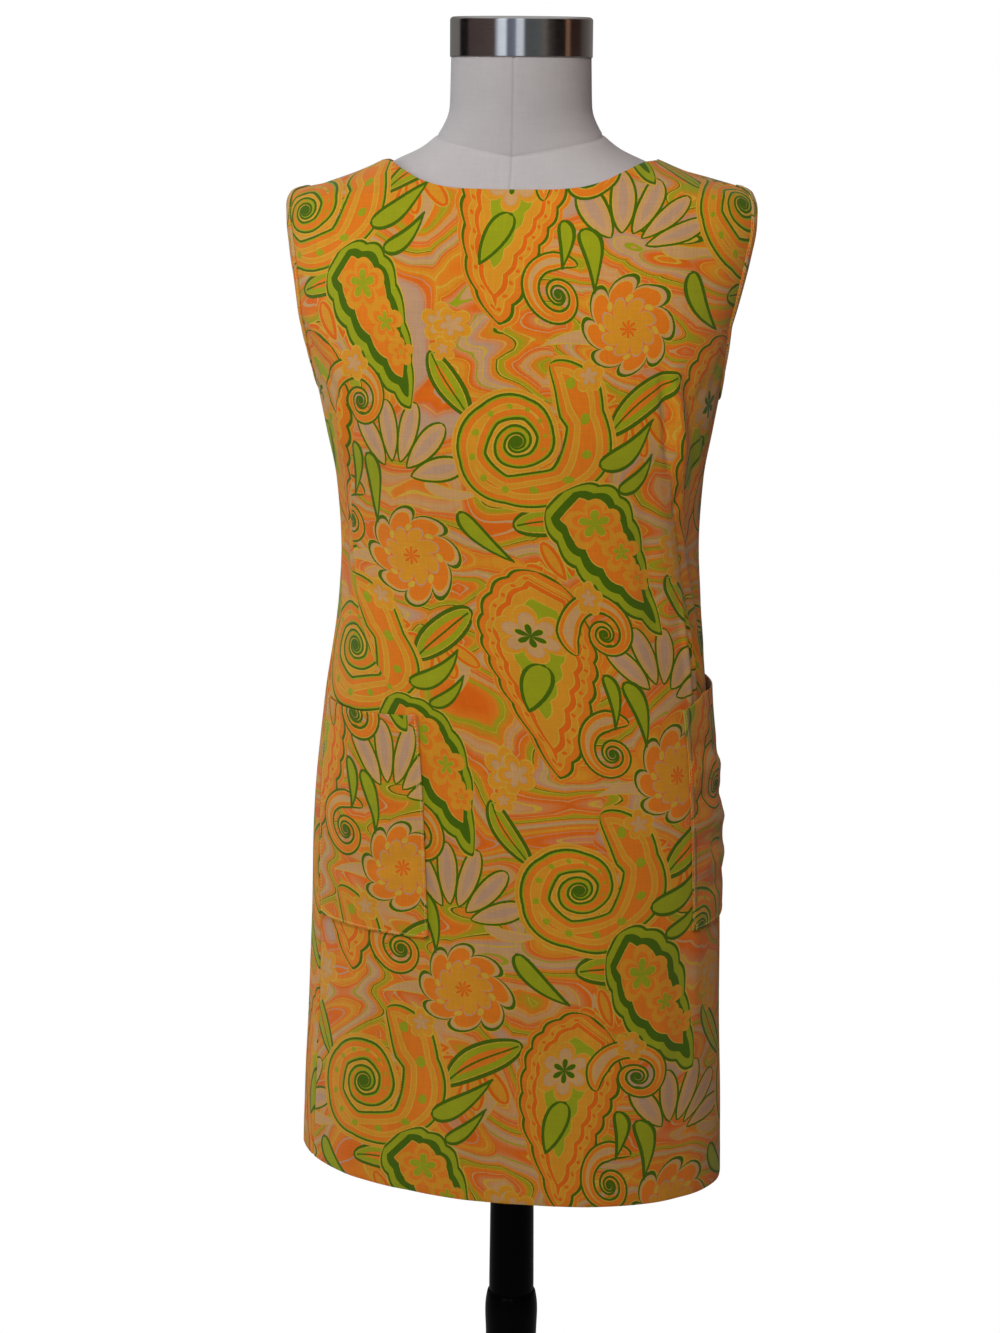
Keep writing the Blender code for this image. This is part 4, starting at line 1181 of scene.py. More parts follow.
# %% [markdown]
# ## Neck cap and stand
# The cap, the mast, the tube and the base are turned parts: a profile spun round
# the vertical. Small radii at its edges catch the light.

# %% Turned parts
CAP_RADIUS, CAP_WALL, CAP_ROUND = 0.0609, 0.0012, 0.003
CAP_FOOT, CAP_TOP = 1.4844, 1.518
MAST_RADIUS, MAST_NECK_RADIUS = 0.0207, 0.0192  # the second of its tapered upper end
MAST_FOOT, MAST_TAPER_FOOT, MAST_TAPER_TOP = 0.1, 0.372, 0.56
FLANGE_RADIUS, FLANGE_WALL = 0.055, 0.006
# The flange's hollow curve down to the mast: radius past the mast's, depth under the flange.
FLANGE_CURVE = ((0.01, 0.0006), (0.0045, 0.004), (0.0018, 0.012), (0.0004, 0.024), (0, 0.032))
TUBE_RADIUS, TUBE_TOP = 0.0234, 0.361
COLLAR = (  # the swollen top of the tube: depth below its top, radius
    (0.0002, 0.0218), (0.001, 0.0222), (0.003, 0.0227), (0.006, 0.0232), (0.01, 0.0238),
    (0.015, 0.0242), (0.02, 0.0243), (0.025, 0.0242), (0.03, 0.024), (0.036, 0.0237),
    (0.042, 0.0235), (0.048, 0.0234))
BASE_RADIUS, BASE_RIM = 0.215, 0.008
BASE_HUB_RADIUS, BASE_HUB_TOP = 0.042, 0.06
# The hub's curve down to the plate: radius past the hub's, height over the rim.
HUB_CURVE = ((-0.0062, 0.038), (-0.003, 0.022), (0.003, 0.01), (0.011, 0.005), (0.025, 0.003))
HOLD = 0.0008  # a row close to a rounding keeps the shading of the flat beside it flat


def turned(name, profile, sides):
    """A turned solid from its profile, a loop of (radius, height) down its outer side."""
    mesh = bpy.data.meshes.new(name)
    count = len(profile)
    links = [(k, (k + 1) % count) for k in range(count)]
    links = [pair for pair in links if profile[pair[0]][0] > 0 or profile[pair[1]][0] > 0]
    mesh.from_pydata([(r, 0, z) for r, z in profile], links, [])
    thing = link(name, mesh)
    screw = thing.modifiers.new("turn", "SCREW")
    screw.steps = screw.render_steps = sides
    screw.use_merge_vertices = True
    screw.merge_threshold = 0.00001
    screw.use_smooth_shade = True
    bpy.context.view_layer.update()
    solid = bpy.data.meshes.new_from_object(thing.evaluated_get(bpy.context.evaluated_depsgraph_get()))
    thing.modifiers.clear()
    thing.data = solid
    solid.set_sharp_from_angle(angle=radians(50))
    print(f"{name}: {len(solid.polygons)} faces")
    return thing


def rounded(radius, height, blend, steps=8):
    """A rounded upper corner of a profile, from inside out and down."""
    angles = [pi / 2 * k / steps for k in range(steps + 1)]
    corner = [(radius - blend * (1 - sin(a)), height - blend * (1 - cos(a))) for a in angles]
    return [(radius - blend - HOLD, height), *corner, (radius, height - blend - HOLD)]


def rounded_under(radius, height, blend, steps=5):
    """A rounded lower corner of a profile, from outside in."""
    angles = [pi / 2 * k / steps for k in range(steps + 1)]
    corner = [(radius - blend * (1 - cos(a)), height + blend * (1 - sin(a))) for a in angles]
    return [(radius, height + blend + HOLD), *corner, (radius - blend - HOLD, height)]


inside_cap = CAP_RADIUS - CAP_WALL
cap = turned("neck_cap_steel", [
    (0, CAP_TOP), (CAP_RADIUS * 0.5, CAP_TOP), *rounded(CAP_RADIUS, CAP_TOP, CAP_ROUND),
    *rounded_under(CAP_RADIUS, CAP_FOOT, 0.0006), (inside_cap, CAP_FOOT),
    (inside_cap, CAP_TOP - CAP_WALL - 0.002), (inside_cap - 0.002, CAP_TOP - CAP_WALL),
    (0, CAP_TOP - CAP_WALL)], 144)

under_form = FORM["height"][0] - SEAM
mast = turned("mast_enamel", [
    (0, under_form), *rounded(FLANGE_RADIUS, under_form, 0.0012, 4),
    *rounded_under(FLANGE_RADIUS, under_form - FLANGE_WALL, 0.0012),
    *((MAST_NECK_RADIUS + past, under_form - FLANGE_WALL - depth) for past, depth in FLANGE_CURVE),
    (MAST_NECK_RADIUS, MAST_TAPER_TOP), (MAST_RADIUS, MAST_TAPER_FOOT), (MAST_RADIUS, MAST_TAPER_FOOT - 0.01),
    *rounded_under(MAST_RADIUS, MAST_FOOT, 0.001), (0, MAST_FOOT)], 96)

fit = MAST_RADIUS + SEAM
tube = turned("outer_tube_enamel", [
    (fit, TUBE_TOP - 0.0005), (fit + 0.0003, TUBE_TOP),
    *((radius, TUBE_TOP - depth) for depth, radius in COLLAR), (TUBE_RADIUS, TUBE_TOP - 0.056),
    (TUBE_RADIUS, BASE_RIM + SEAM), (fit, BASE_RIM + SEAM)], 96)

socket = TUBE_RADIUS + SEAM
base = turned("base_plate_iron", [
    (socket, BASE_HUB_TOP - 0.0006), (socket + 0.0006, BASE_HUB_TOP),
    *rounded(BASE_HUB_RADIUS - 0.008, BASE_HUB_TOP, 0.004, 5),
    *((BASE_HUB_RADIUS + past, BASE_RIM + rise) for past, rise in HUB_CURVE),
    (BASE_RADIUS * 0.6, BASE_RIM + 0.0018),
    (BASE_RADIUS - 0.012, BASE_RIM + 0.0003), *rounded(BASE_RADIUS, BASE_RIM, 0.004, 6),
    (BASE_RADIUS, 0.0014), (BASE_RADIUS - 0.0014, 0), (0, 0), (0, BASE_RIM),
    (socket, BASE_RIM)], 192)

# %% [markdown]
# ## Wiring shader nodes by formula
# A printed pattern is arithmetic, and Math nodes linked by hand are hard to read.
# So a node's output is wrapped as a Signal, and Python's own signs make the nodes:
# a * b + c makes two. What materials share is a node group, written as a function
# of the group's inputs.

# %% Signals and nodes
bench = {"tree": None}  # the node tree that is being wired


class Signal:
    """A node's output. Each sign of arithmetic adds a Math node."""

    def __init__(self, socket):
        self.socket = socket


def signs(operation):
    """Two methods of a Signal: the operation done to it, and with it to another value."""
    return (lambda self, *others: calc(operation, self, *others),
            lambda self, other: calc(operation, other, self))


for sign, operation in (("add", "ADD"), ("sub", "SUBTRACT"), ("mul", "MULTIPLY"), ("truediv", "DIVIDE"),
                        ("pow", "POWER"), ("lt", "LESS_THAN"), ("abs", "ABSOLUTE")):
    for way, method in zip(("", "r"), signs(operation)):
        setattr(Signal, f"__{way}{sign}__", method)


def feed(socket, value):
    """Links a socket to a signal, or sets it to a plain value."""
    if isinstance(value, Signal):
        bench["tree"].links.new(value.socket, socket)
    elif socket.type == "RGBA":
        socket.default_value = (*value[:3], 1)
    else:
        socket.default_value = value


def make(kind, *values, **settings):
    """A new node. Values fill its first inputs, and a setting with a capital fills an input by name."""
    node = bench["tree"].nodes.new(kind)
    for name, value in settings.items():
        if name[0].isupper():
            feed(node.inputs[name], value)
        else:
            setattr(node, name, value)
    for socket, value in zip(node.inputs, values):
        feed(socket, value)
    return node


def made(kind, *values, give=0, **settings):
    """The signal from one output of a new node."""
    return Signal(make(kind, *values, **settings).outputs[give])


def calc(operation, *values):
    return made("ShaderNodeMath", *values, operation=operation)


def least(*values):
    result = values[0]
    for value in values[1:]:
        result = calc("MINIMUM", result, value)
    return result


def limit(value, low, high):
    return calc("MINIMUM", calc("MAXIMUM", value, low), high)


def vector(operation, *values):
    return made("ShaderNodeVectorMath", *values, operation=operation)


def scaled(colour, factor):
    return made("ShaderNodeVectorMath", colour, operation="SCALE", Scale=factor)


def length_of(place):
    return made("ShaderNodeVectorMath", place, operation="LENGTH", give="Value")


def parts(place):
    """The X, Y and Z of a vector."""
    return [Signal(socket) for socket in make("ShaderNodeSeparateXYZ", place).outputs]


def join(x, y):
    return made("ShaderNodeCombineXYZ", x, y)


def noise(place, scale, detail, dimensions="2D", give="Fac"):
    return made("ShaderNodeTexNoise", noise_dimensions=dimensions, Vector=place, Scale=scale, Detail=detail,
                give=give)


def over(mask, above, below):
    """The colour above where the mask is 1, below where it is 0."""
    node = make("ShaderNodeMix", mask, data_type="RGBA")
    feed(node.inputs[6], below)
    feed(node.inputs[7], above)
    return Signal(node.outputs[2])


def between(share, low, high):
    """A number that goes from low to high as the share goes from 0 to 1."""
    node = make("ShaderNodeMix", share, data_type="FLOAT")
    feed(node.inputs[2], low)
    feed(node.inputs[3], high)
    return Signal(node.outputs[0])


def ramp(factor, stops, blend="CONSTANT"):
    """A colour ramp from (place, colour) stops. A colour with a fourth number is that opaque."""
    node = make("ShaderNodeValToRGB", factor)
    band = node.color_ramp
    band.interpolation = blend
    while len(band.elements) < len(stops):
        band.elements.new(1)
    for element, (place, colour) in zip(band.elements, stops):
        element.position = place
        element.color = tuple(colour) if len(colour) == 4 else (*colour, 1)
    return Signal(node.outputs["Color"]), Signal(node.outputs["Alpha"])


# %% Node groups
SOCKETS = {"VALUE": "NodeSocketFloat", "VECTOR": "NodeSocketVector", "RGBA": "NodeSocketColor"}
ORIGIN = (0, 0, 0)


def node_group(name, **inputs):
    """Turns a formula into a node group with these inputs and start values.

    The formula gives back its outputs by name. What it becomes places the group on the bench.
    """
    labels = {key: key.replace("_", " ").capitalize() for key in inputs}

    def build(formula):
        tree = bpy.data.node_groups.new(name, "ShaderNodeTree")
        bench["tree"] = tree
        for key, start in inputs.items():
            kind = SOCKETS["VECTOR" if start is ORIGIN else "VALUE"]
            socket = tree.interface.new_socket(labels[key], in_out="INPUT", socket_type=kind)
            socket.default_value = start
        given = tree.nodes.new("NodeGroupInput").outputs
        results = formula(**{key: Signal(given[label]) for key, label in labels.items()})
        for label, signal in results.items():
            tree.interface.new_socket(label, in_out="OUTPUT", socket_type=SOCKETS[signal.socket.type])
        node = tree.nodes.new("NodeGroupOutput")
        for label, signal in results.items():
            feed(node.inputs[label], signal)

        def place(**values):
            placed = bench["tree"].nodes.new("ShaderNodeGroup")
            placed.node_tree = tree
            for key, value in values.items():
                feed(placed.inputs[labels[key]], value)
            outputs = [Signal(placed.outputs[label]) for label in results]
            return dict(zip(results, outputs)) if len(outputs) > 1 else outputs[0]
        return place
    return build


# %% [markdown]
# ## The print's repeat
# In a half-drop repeat every second column is moved down by half of it. One group
# turns a place on the cloth into a place on the nearest copy of a motif, so each
# motif is drawn once and shows all over.

# %% Half-drop places
REPEAT = 0.392  # from a motif to the next in its column
COLUMN = 0.196  # from a column to the next


@node_group("Half-drop place", cloth=ORIGIN, middle=ORIGIN, turn=0.0, size=0.1, flip=1.0, root=0.0)
def half_drop(cloth, middle, turn, size, flip, root):
    across, up, _ = parts(vector("SUBTRACT", cloth, middle))
    column = calc("ROUND", across / COLUMN)
    dropped = up - column * (REPEAT / 2)
    copy = calc("ROUND", dropped / REPEAT)
    place = join(across - column * COLUMN, dropped - copy * REPEAT)
    x, y, _ = parts(made("ShaderNodeVectorRotate", place, rotation_type="Z_AXIS", Angle=turn))
    return {"Local": join(x * flip / size, y / size + root)}


# %% [markdown]
# ## Motifs as distances
# Each motif group takes a place in its own unit frame and gives the distance to
# its edge, below zero inside, which a ramp turns into nested lines. Along and Side
# say where on the motif a place is.

# %% Drop, scroll, blossom and fan
@node_group("Drop", local=ORIGIN, width=0.3, lean=0.3, point=0.85, scallop=0.0, scallops=7.0)
def drop(local, width, lean, point, scallop, scallops):
    """A teardrop from its tip at (0, 0) to its round end at (0, 1), its tip leaning over."""
    x, y, _ = parts(local)
    share = limit(y, 0.0005, 0.9995)
    rest = 1.0 - share
    side = x - rest ** 2.2 * lean
    half = share ** point * calc("SQRT", rest) * width * 1.9
    petals = abs(calc("SINE", share * (scallops * pi)))
    flank = abs(side) - (petals * scallop + half)
    past = calc("MAXIMUM", y - 0.9995, y * -1)
    return {"Distance": calc("MAXIMUM", flank * 0.82, past), "Along": share, "Side": side}


@node_group("Scroll", local=ORIGIN, growth=0.22, width=0.3, mouth=0.0, scallop=0.0, scallops=3.0)
def scroll(local, growth, width, mouth, scallop, scallops):
    """A horn on a logarithmic spiral that winds into the origin and is about 1 in radius."""
    x, y, _ = parts(local)
    angle = calc("ARCTAN2", y, x)
    reach = calc("MAXIMUM", length_of(local), 0.01)
    winding = calc("LOGARITHM", reach, exp(1)) / growth
    turns = least(calc("ROUND", (winding - angle) / tau), calc("FLOOR", (mouth - angle) / tau))
    along = turns * tau + angle
    spine = calc("EXPONENT", along * growth)
    away = reach - spine
    cap = calc("SQRT", limit((mouth - along) * 1.5, 0, 1))
    petals = abs(calc("SINE", along * scallops))
    half = spine * (petals * (spine * scallop) + width) * cap
    return {"Distance": abs(away) - half, "Along": along, "Side": away / spine}


@node_group("Blossom", local=ORIGIN, petals=5.0, waist=0.62, twist=0.0)
def blossom(local, petals, waist, twist):
    """Round petals about the origin, 1 in radius."""
    x, y, _ = parts(local)
    reach = length_of(local)
    count = (reach * twist + calc("ARCTAN2", y, x)) * petals / tau
    lobe = abs(calc("COSINE", count * pi))
    edge = lobe ** 0.6 * (1.0 - waist) + waist
    return {"Distance": (reach - edge) * 0.85, "Petal": count - calc("ROUND", count), "Reach": reach}


@node_group("Fan", local=ORIGIN, petals=5.0, spread=2.4, root=0.25)
def fan(local, petals, spread, root):
    """Drop-shaped petals that spread from the origin about +Y, 1 long."""
    x, y, _ = parts(local)
    angle, reach = calc("ARCTAN2", x, y), length_of(local)
    step, halfway = spread / petals, spread * 0.5
    slot = limit(calc("FLOOR", (angle + halfway) / step), 0, petals - 1)
    turn = angle - ((slot + 0.5) * step - halfway)
    aside = abs(reach * calc("SINE", turn))
    share = (reach * calc("COSINE", turn) - root) / (1.0 - root)
    at = limit(share, 0.0005, 0.9995)
    half = at ** 0.7 * calc("SQRT", 1.0 - at) * (step * 0.7)
    past = calc("MAXIMUM", share - 0.9995, share * -1)
    return {"Distance": calc("MAXIMUM", aside - half, past), "Along": share}


@node_group("Beads", along=0.0, distance=0.0, count=8.0, level=-0.1, size=0.03, pitch=0.1)
def beads(along, distance, count, level, size, pitch):
    """1 on a row of round beads: count of them for each 1 of along, at a level of distance."""
    cycle = along * count
    off = (cycle - calc("ROUND", cycle)) * pitch
    return {"Mask": length_of(join(off, distance - level)) < size}


# %% [markdown]
# ## The inks
# A screen print has few inks, each a flat colour, given in sRGB as a dyer's swatch
# is read.

# %% Inks
def ink(*swatch):
    """A colour from sRGB 0 to 255."""
    shares = [value / 255 for value in swatch]
    return tuple(v / 12.92 if v <= 0.04045 else ((v + 0.055) / 1.055) ** 2.4 for v in shares)


ORANGE, RUST, GOLD = ink(226, 122, 28), ink(224, 103, 18), ink(218, 146, 36)
STRAW, SAND, LILAC = ink(210, 168, 56), ink(204, 156, 100), ink(190, 150, 118)
LIME, GREEN = ink(154, 160, 24), ink(72, 102, 6)
CLEAR = (0, 0, 0, 0)

# %% [markdown]
# ## Laying out the design
# Bands say at which distance from a motif's edge each ink begins, in millimetres
# and below 0 inside. A table, in the order of printing, names each kind's shape and
# bands, and its places in the repeat: the middle, the turn in degrees, the size,
# and -1 where mirrored.

# %% Bands of ink
PAISLEY = ((-60, LIME), (-24.5, STRAW), (-23.6, GOLD), (-16.5, STRAW), (-15.6, RUST), (-12, STRAW),
           (-11.2, GOLD), (-7.4, STRAW), (-6.6, ORANGE), (-2.2, GREEN), (0, STRAW), (0.9, ORANGE),
           (3.2, STRAW), (3.9, CLEAR))
DARK_PAISLEY = ((-60, ORANGE), (-16, STRAW), (-15.2, GREEN), (-8.8, LIME), (-3.2, GREEN), (-1, STRAW),
                (0.2, CLEAR))
SNAIL = ((-30, ORANGE), (-13.5, STRAW), (-12.6, GOLD), (-8.4, STRAW), (-7.6, ORANGE), (-3, LIME),
         (-1.6, GREEN), (0.6, STRAW), (1.6, GOLD), (4, STRAW), (4.7, CLEAR))
HORN = ((-20, SAND), (-6.2, STRAW), (-5.5, ORANGE), (-2.4, STRAW), (-1.7, GREEN), (0.4, CLEAR))
ROSE = ((-60, RUST), (-29, STRAW), (-28, GOLD), (-15.5, LILAC), (-14.6, ORANGE), (-5, STRAW),
        (-4.2, SAND), (-2.2, GREEN), (0, STRAW), (0.8, CLEAR))
SMALL_ROSE = ((-20, GREEN), (-15, STRAW), (-14, SAND), (-6.6, LILAC), (-6, GOLD), (-1, STRAW), (0, CLEAR))
PALE_FAN = ((-20, LILAC), (-6.6, SAND), (-2.4, STRAW), (-1.6, GREEN), (0.4, CLEAR))
GOLD_FAN = ((-20, GOLD), (-4.2, RUST), (-1.2, STRAW), (0, CLEAR))
PALE_LEAF = ((-20, ORANGE), (-7, LIME), (-3, STRAW), (-2.4, GREEN), (0.3, CLEAR))
COMMA = ((-20, LIME), (-1.8, GREEN), (0.8, CLEAR))
SAND_COMMA = ((-20, SAND), (-1, STRAW), (0, CLEAR))
BUD = ((-20, LIME), (-9.5, STRAW), (-8.9, ORANGE), (-5, GOLD), (0, CLEAR))


def about(local, x, y, times):
    """A motif's places seen from (x, y) in it, where things are times smaller."""
    return vector("MULTIPLY_ADD", local, (times, times, 0), (-x * times, -y * times, 0))


def inked(below, shape, size, bands):
    """Prints a motif's nested bands over what is below it."""
    first, last = bands[0][0], bands[-1][0]
    share = shape["Distance"] * (1000 * size / (last - first)) - first / (last - first)
    stops = [((start - first) / (last - first), colour) for start, colour in bands]
    colour, mask = ramp(least(share, 1), stops)
    return over(mask, colour, below)


# %% What motifs hold
# Each takes the colour below, the motif's shape, its local places and its size.
def leaf_vein(colour, shape, local, size):
    return over((abs(shape["Side"]) < 0.01) * (shape["Distance"] < -0.05), GREEN, colour)


def snail_beads(colour, shape, local, size):
    row = beads(along=shape["Along"], distance=shape["Side"], count=1.9, level=0.0, size=0.075, pitch=0.52)
    return over(row * (shape["Distance"] < -0.1), LIME, colour)


def buds(colour, shape, local, size):
    for x, y, times in ((0.02, 0.7, 5.6), (0.08, 0.45, 7.2), (0.17, 0.27, 10.0)):
        flower = blossom(local=about(local, x, y, times), petals=5.0, waist=0.5)
        colour = inked(colour, flower, size / times, BUD)
    return colour


def heart_and_seed(colour, shape, local, size):
    row = beads(along=shape["Along"], distance=shape["Distance"], count=15.0, level=-0.055, size=0.009,
                pitch=0.066)
    colour = over(row, RUST, colour)
    heart = blossom(local=about(local, 0, 0.66, 5.8), petals=6.0, waist=0.55)
    colour = inked(colour, heart, size / 5.8, SMALL_ROSE)
    seed = drop(local=about(local, 0.1, 0.22, 3.4), width=0.3, lean=0.1)
    return inked(colour, seed, size / 3.4, COMMA)


def rose_beads(colour, shape, local, size):
    row = beads(along=shape["Petal"] + 0.5, distance=shape["Reach"], count=1.0, level=0.56, size=0.07,
                pitch=0.44)
    return over(row, STRAW, colour)


# %% Motif table
LARGE = (SNAIL, PAISLEY, DARK_PAISLEY, ROSE)  # the ground echoes these
MOTIFS = (  # shape, its settings, its bands, what it holds, its places
    (drop, dict(width=0.17, lean=0.5), SAND_COMMA, None,
     ((60, 92, -110, 52, 1), (150, 142, 60, 48, 1), (134, -10, 12, 60, -1))),
    (fan, dict(petals=5.0, spread=2.6), GOLD_FAN, None, ((100, 10, 160, 56, 1), (40, 278, 30, 48, 1))),
    (fan, dict(petals=5.0, spread=2.3), PALE_FAN, None, ((112, 186, -20, 70, 1),)),
    (drop, dict(width=0.19, lean=0.14, point=0.62), PALE_LEAF, leaf_vein,
     ((118, 30, -62, 82, 1), (44, 318, 100, 78, -1), (150, 236, 20, 66, 1))),
    (scroll, dict(growth=0.155, width=0.31, mouth=0.9, scallop=0.08, scallops=3.0), SNAIL, snail_beads,
     ((12, -4, 20, 59, 1),)),
    (drop, dict(width=0.36, lean=0.46, scallop=0.024, scallops=6.0), DARK_PAISLEY, buds,
     ((96, 300, 58, 134, -1),)),
    (drop, dict(width=0.35, lean=0.36, scallop=0.018, scallops=9.0), PAISLEY, heart_and_seed,
     ((-12, 198, -30, 172, 1),)),
    (blossom, dict(petals=8.0, waist=0.74, twist=0.9), ROSE, rose_beads, ((106, 92, 0, 42, 1),)),
    (scroll, dict(growth=0.17, width=0.32, mouth=1.2), HORN, None,
     ((46, 118, -60, 26, -1), (66, 222, 140, 30, 1))),
    (drop, dict(width=0.22, lean=0.55), COMMA, None,
     ((104, -22, 96, 58, 1), (112, -44, 104, 44, 1), (84, 158, 40, 50, -1), (62, 168, 30, 40, -1),
      (162, 106, 15, 52, 1))),
    (blossom, dict(petals=5.0, waist=0.5), SMALL_ROSE, None,
     ((150, 292, 10, 19, 1), (-36, 94, 40, 17, 1), (62, 252, 0, 14, 1), (70, 52, 25, 15, 1),
      (150, 268, 25, 12, 1))),
)


def strayed(onto, place, scale, detail, reach):
    """Places moved by noise, up to half a reach."""
    drift = vector("SUBTRACT", noise(place, scale, detail, give="Color"), (0.5, 0.5, 0.5))
    return vector("MULTIPLY_ADD", drift, reach, onto)


def ground(cloth, nearest):
    """Flowing streaks between the motifs, and echoes of the nearest large one."""
    bent = strayed(cloth, cloth, 5.0, 0, (0.1, 0.12, 0))
    flow = noise(vector("MULTIPLY", bent, (7.0, 21.0, 0)), 1, 0)
    level = nearest * 4.0 + flow
    washes, _ = ramp(level, [
        (0, SAND), (0.24, LILAC), (0.3, RUST), (0.36, ORANGE), (0.41, GOLD), (0.45, RUST),
        (0.49, SAND), (0.53, LILAC), (0.57, ORANGE), (0.62, LIME), (0.66, ORANGE), (0.71, RUST),
        (0.77, SAND), (0.82, ORANGE), (0.88, LIME), (0.92, ORANGE), (1, RUST)], "LINEAR")
    lines = [(0, CLEAR)]
    for at, line, broad in ((0.27, STRAW, 0.007), (0.33, LILAC, 0.006), (0.385, STRAW, 0.008),
                            (0.435, STRAW, 0.006), (0.475, LIME, 0.007), (0.51, STRAW, 0.006),
                            (0.555, STRAW, 0.007), (0.592, GREEN, 0.009), (0.601, STRAW, 0.006),
                            (0.645, STRAW, 0.007), (0.69, SAND, 0.007), (0.74, STRAW, 0.008),
                            (0.8, STRAW, 0.006), (0.86, STRAW, 0.007)):
        lines += [(at, line), (at + broad, CLEAR)]
    colour, mask = ramp(level, lines)
    return over(mask, colour, washes)


@node_group("Paisley print", cloth=ORIGIN)
def paisley_print(cloth):
    swayed = strayed(cloth, cloth, 11.0, 0, (0.016, 0.016, 0))
    bled = strayed(swayed, cloth, 800.0, 1, (0.0006, 0.0006, 0))
    placed = []
    for shape, settings, bands, holds, rows in MOTIFS:
        for x, y, turn, size, flip in rows:
            local = half_drop(cloth=bled, middle=(x / 1000, y / 1000, 0), turn=radians(-turn),
                              size=size / 1000, flip=flip, root=0.5 if shape in (drop, fan) else 0)
            placed.append((shape(local=local, **settings), local, size / 1000, bands, holds))
    large = [shape["Distance"] * size for shape, _, size, bands, _ in placed if bands in LARGE]
    colour = ground(bled, least(*large))
    for shape, local, size, bands, holds in placed:
        colour = inked(colour, shape, size, bands)
        if holds:
            colour = holds(colour, shape, local, size)
    print(f"print design: {len(bench['tree'].nodes)} nodes in its own group")
    return {"Color": colour}

# %% [markdown]
# ## Weave
# One group makes a plain weave for cotton and linen: threads that pass over and
# under each other, and slubs, the thick stretches of a thread. It reads a place on
# the flat cloth, so the threads follow every fold.

# %% Woven threads
@node_group("Woven threads", cloth=ORIGIN, threads=2200.0, slub=0.5, slub_length=45.0)
def woven(cloth, threads, slub, slub_length):
    u, v, _ = parts(cloth)
    warp, weft = u * threads, v * threads
    cells = calc("FLOOR", warp) + calc("FLOOR", weft)
    on_top = calc("GREATER_THAN", calc("FRACT", cells * 0.5), 0.25)
    humps = [calc("SINE", calc("FRACT", thread) * pi) for thread in (warp, weft)]
    fine = threads * 0.42
    streaks = [noise(join(u * x, v * y), 1, 1) for x, y in ((slub_length, fine), (fine, slub_length))]
    shade = (streaks[0] + streaks[1]) * 0.5
    return {"Height": (shade - 0.5) * (slub * 6.0) + between(on_top, *humps), "Shade": shade}


# %% [markdown]
# ## Wear and dust
# Nothing that has been used is one even colour. These groups give uneven masks,
# which cloth takes as fading, metal as smears and iron as dust, and rubbed edges.

# %% Uneven mask and worn edges
@node_group("Uneven", place=ORIGIN, broad=12.0, fine=160.0, share_of_fine=0.3)
def uneven(place, broad, fine, share_of_fine):
    return {"Mask": between(share_of_fine, *(noise(place, scale, 2.0, "3D") for scale in (broad, fine)))}


@node_group("Worn edges", place=ORIGIN, begin=0.53, patches=300.0)
def worn(place, begin, patches):
    """1 on outer edges in broken patches. Begin is how sharp an edge must be."""
    sharp = made("ShaderNodeNewGeometry", give="Pointiness")
    broken = uneven(place=place, broad=patches, fine=1500.0, share_of_fine=0.3)
    return {"Mask": limit((sharp - begin) * 14.0, 0, 1) * least(broken * 1.6, 1)}


# %% Helpers for finishes
def flat_cloth():
    return made("ShaderNodeUVMap", uv_map="flat cloth", give="UV")


def own_space():
    return made("ShaderNodeTexCoord", give="Object")


def patchy(broad, fine, share_of_fine=0.3):
    return uneven(place=own_space(), broad=broad, fine=fine, share_of_fine=share_of_fine)


def rubbed(begin, patches=300.0):
    return worn(place=own_space(), begin=begin, patches=patches)


def start_material(name, **settings):
    """A material on the bench and its Principled shader, its plain values set on the shader itself."""
    material = bpy.data.materials.new(name)
    material.use_nodes = True
    bench["tree"] = material.node_tree
    shader = material.node_tree.nodes["Principled BSDF"]
    for label, value in settings.items():
        shader.inputs[label.replace("_", " ")].default_value = value
    return material, shader


def finish(name, look, depth, strength, **settings):
    """A material from a look, a function that gives its colour, its roughness and its height."""
    material, shader = start_material(name, **settings)
    colour, roughness, height = look()
    feed(shader.inputs["Base Color"], colour)
    feed(shader.inputs["Roughness"], roughness)
    relief = made("ShaderNodeBump", Strength=strength, Distance=depth, Height=height)
    feed(shader.inputs["Normal"], relief)
    return material


# %% [markdown]
# ## Printed cotton
# A crisp cotton with a slight slub. The print has faded a little unevenly, and the
# reverse is paler, as the ink has not all gone through.

# %% Printed cotton, face and reverse
COTTON_THREADS = 2000.0  # in a metre
REVERSE_PALENESS = 0.45
COTTON = dict(depth=0.0001, strength=0.6, Roughness=0.82, Sheen_Weight=0.12, Sheen_Roughness=0.45,
              Specular_IOR_Level=0.25)


def cotton(paleness=0.0):
    place = flat_cloth()
    threads = woven(cloth=place, threads=COTTON_THREADS, slub=0.5, slub_length=38.0)
    fading = patchy(9.0, 70.0, 0.35)
    factor = (threads["Shade"] - 0.5) * 0.3 + (fading - 0.5) * 0.3 + 0.97
    colour = scaled(paisley_print(cloth=place), factor)
    if paleness:
        colour = over(paleness, SAND, colour)
    colour = over(rubbed(0.54, 220.0) * 0.22, STRAW, colour)
    return colour, threads["Shade"] * 0.22 + fading * 0.16 + 0.62, threads["Height"]


cotton_face = finish("printed cotton", cotton, **COTTON)
cotton_reverse = finish("printed cotton, reverse", lambda: cotton(REVERSE_PALENESS), **COTTON)

# %% [markdown]
# ## Linen cover
# The cover is an off-white linen with coarse threads, a little soiled, and the neck
# above its seam is painted darker, as shade.

# %% Linen
LINEN = ink(189, 184, 184)
NECK_PAINTED_SHADE = 0.87  # how bright the neck is painted against the panels below its seam: painted shade
SEAM_LOW, SEAM_RISE, SEAM_BEND = 1.4025, 0.0225, 0.45  # of the neck's seam, from front to back


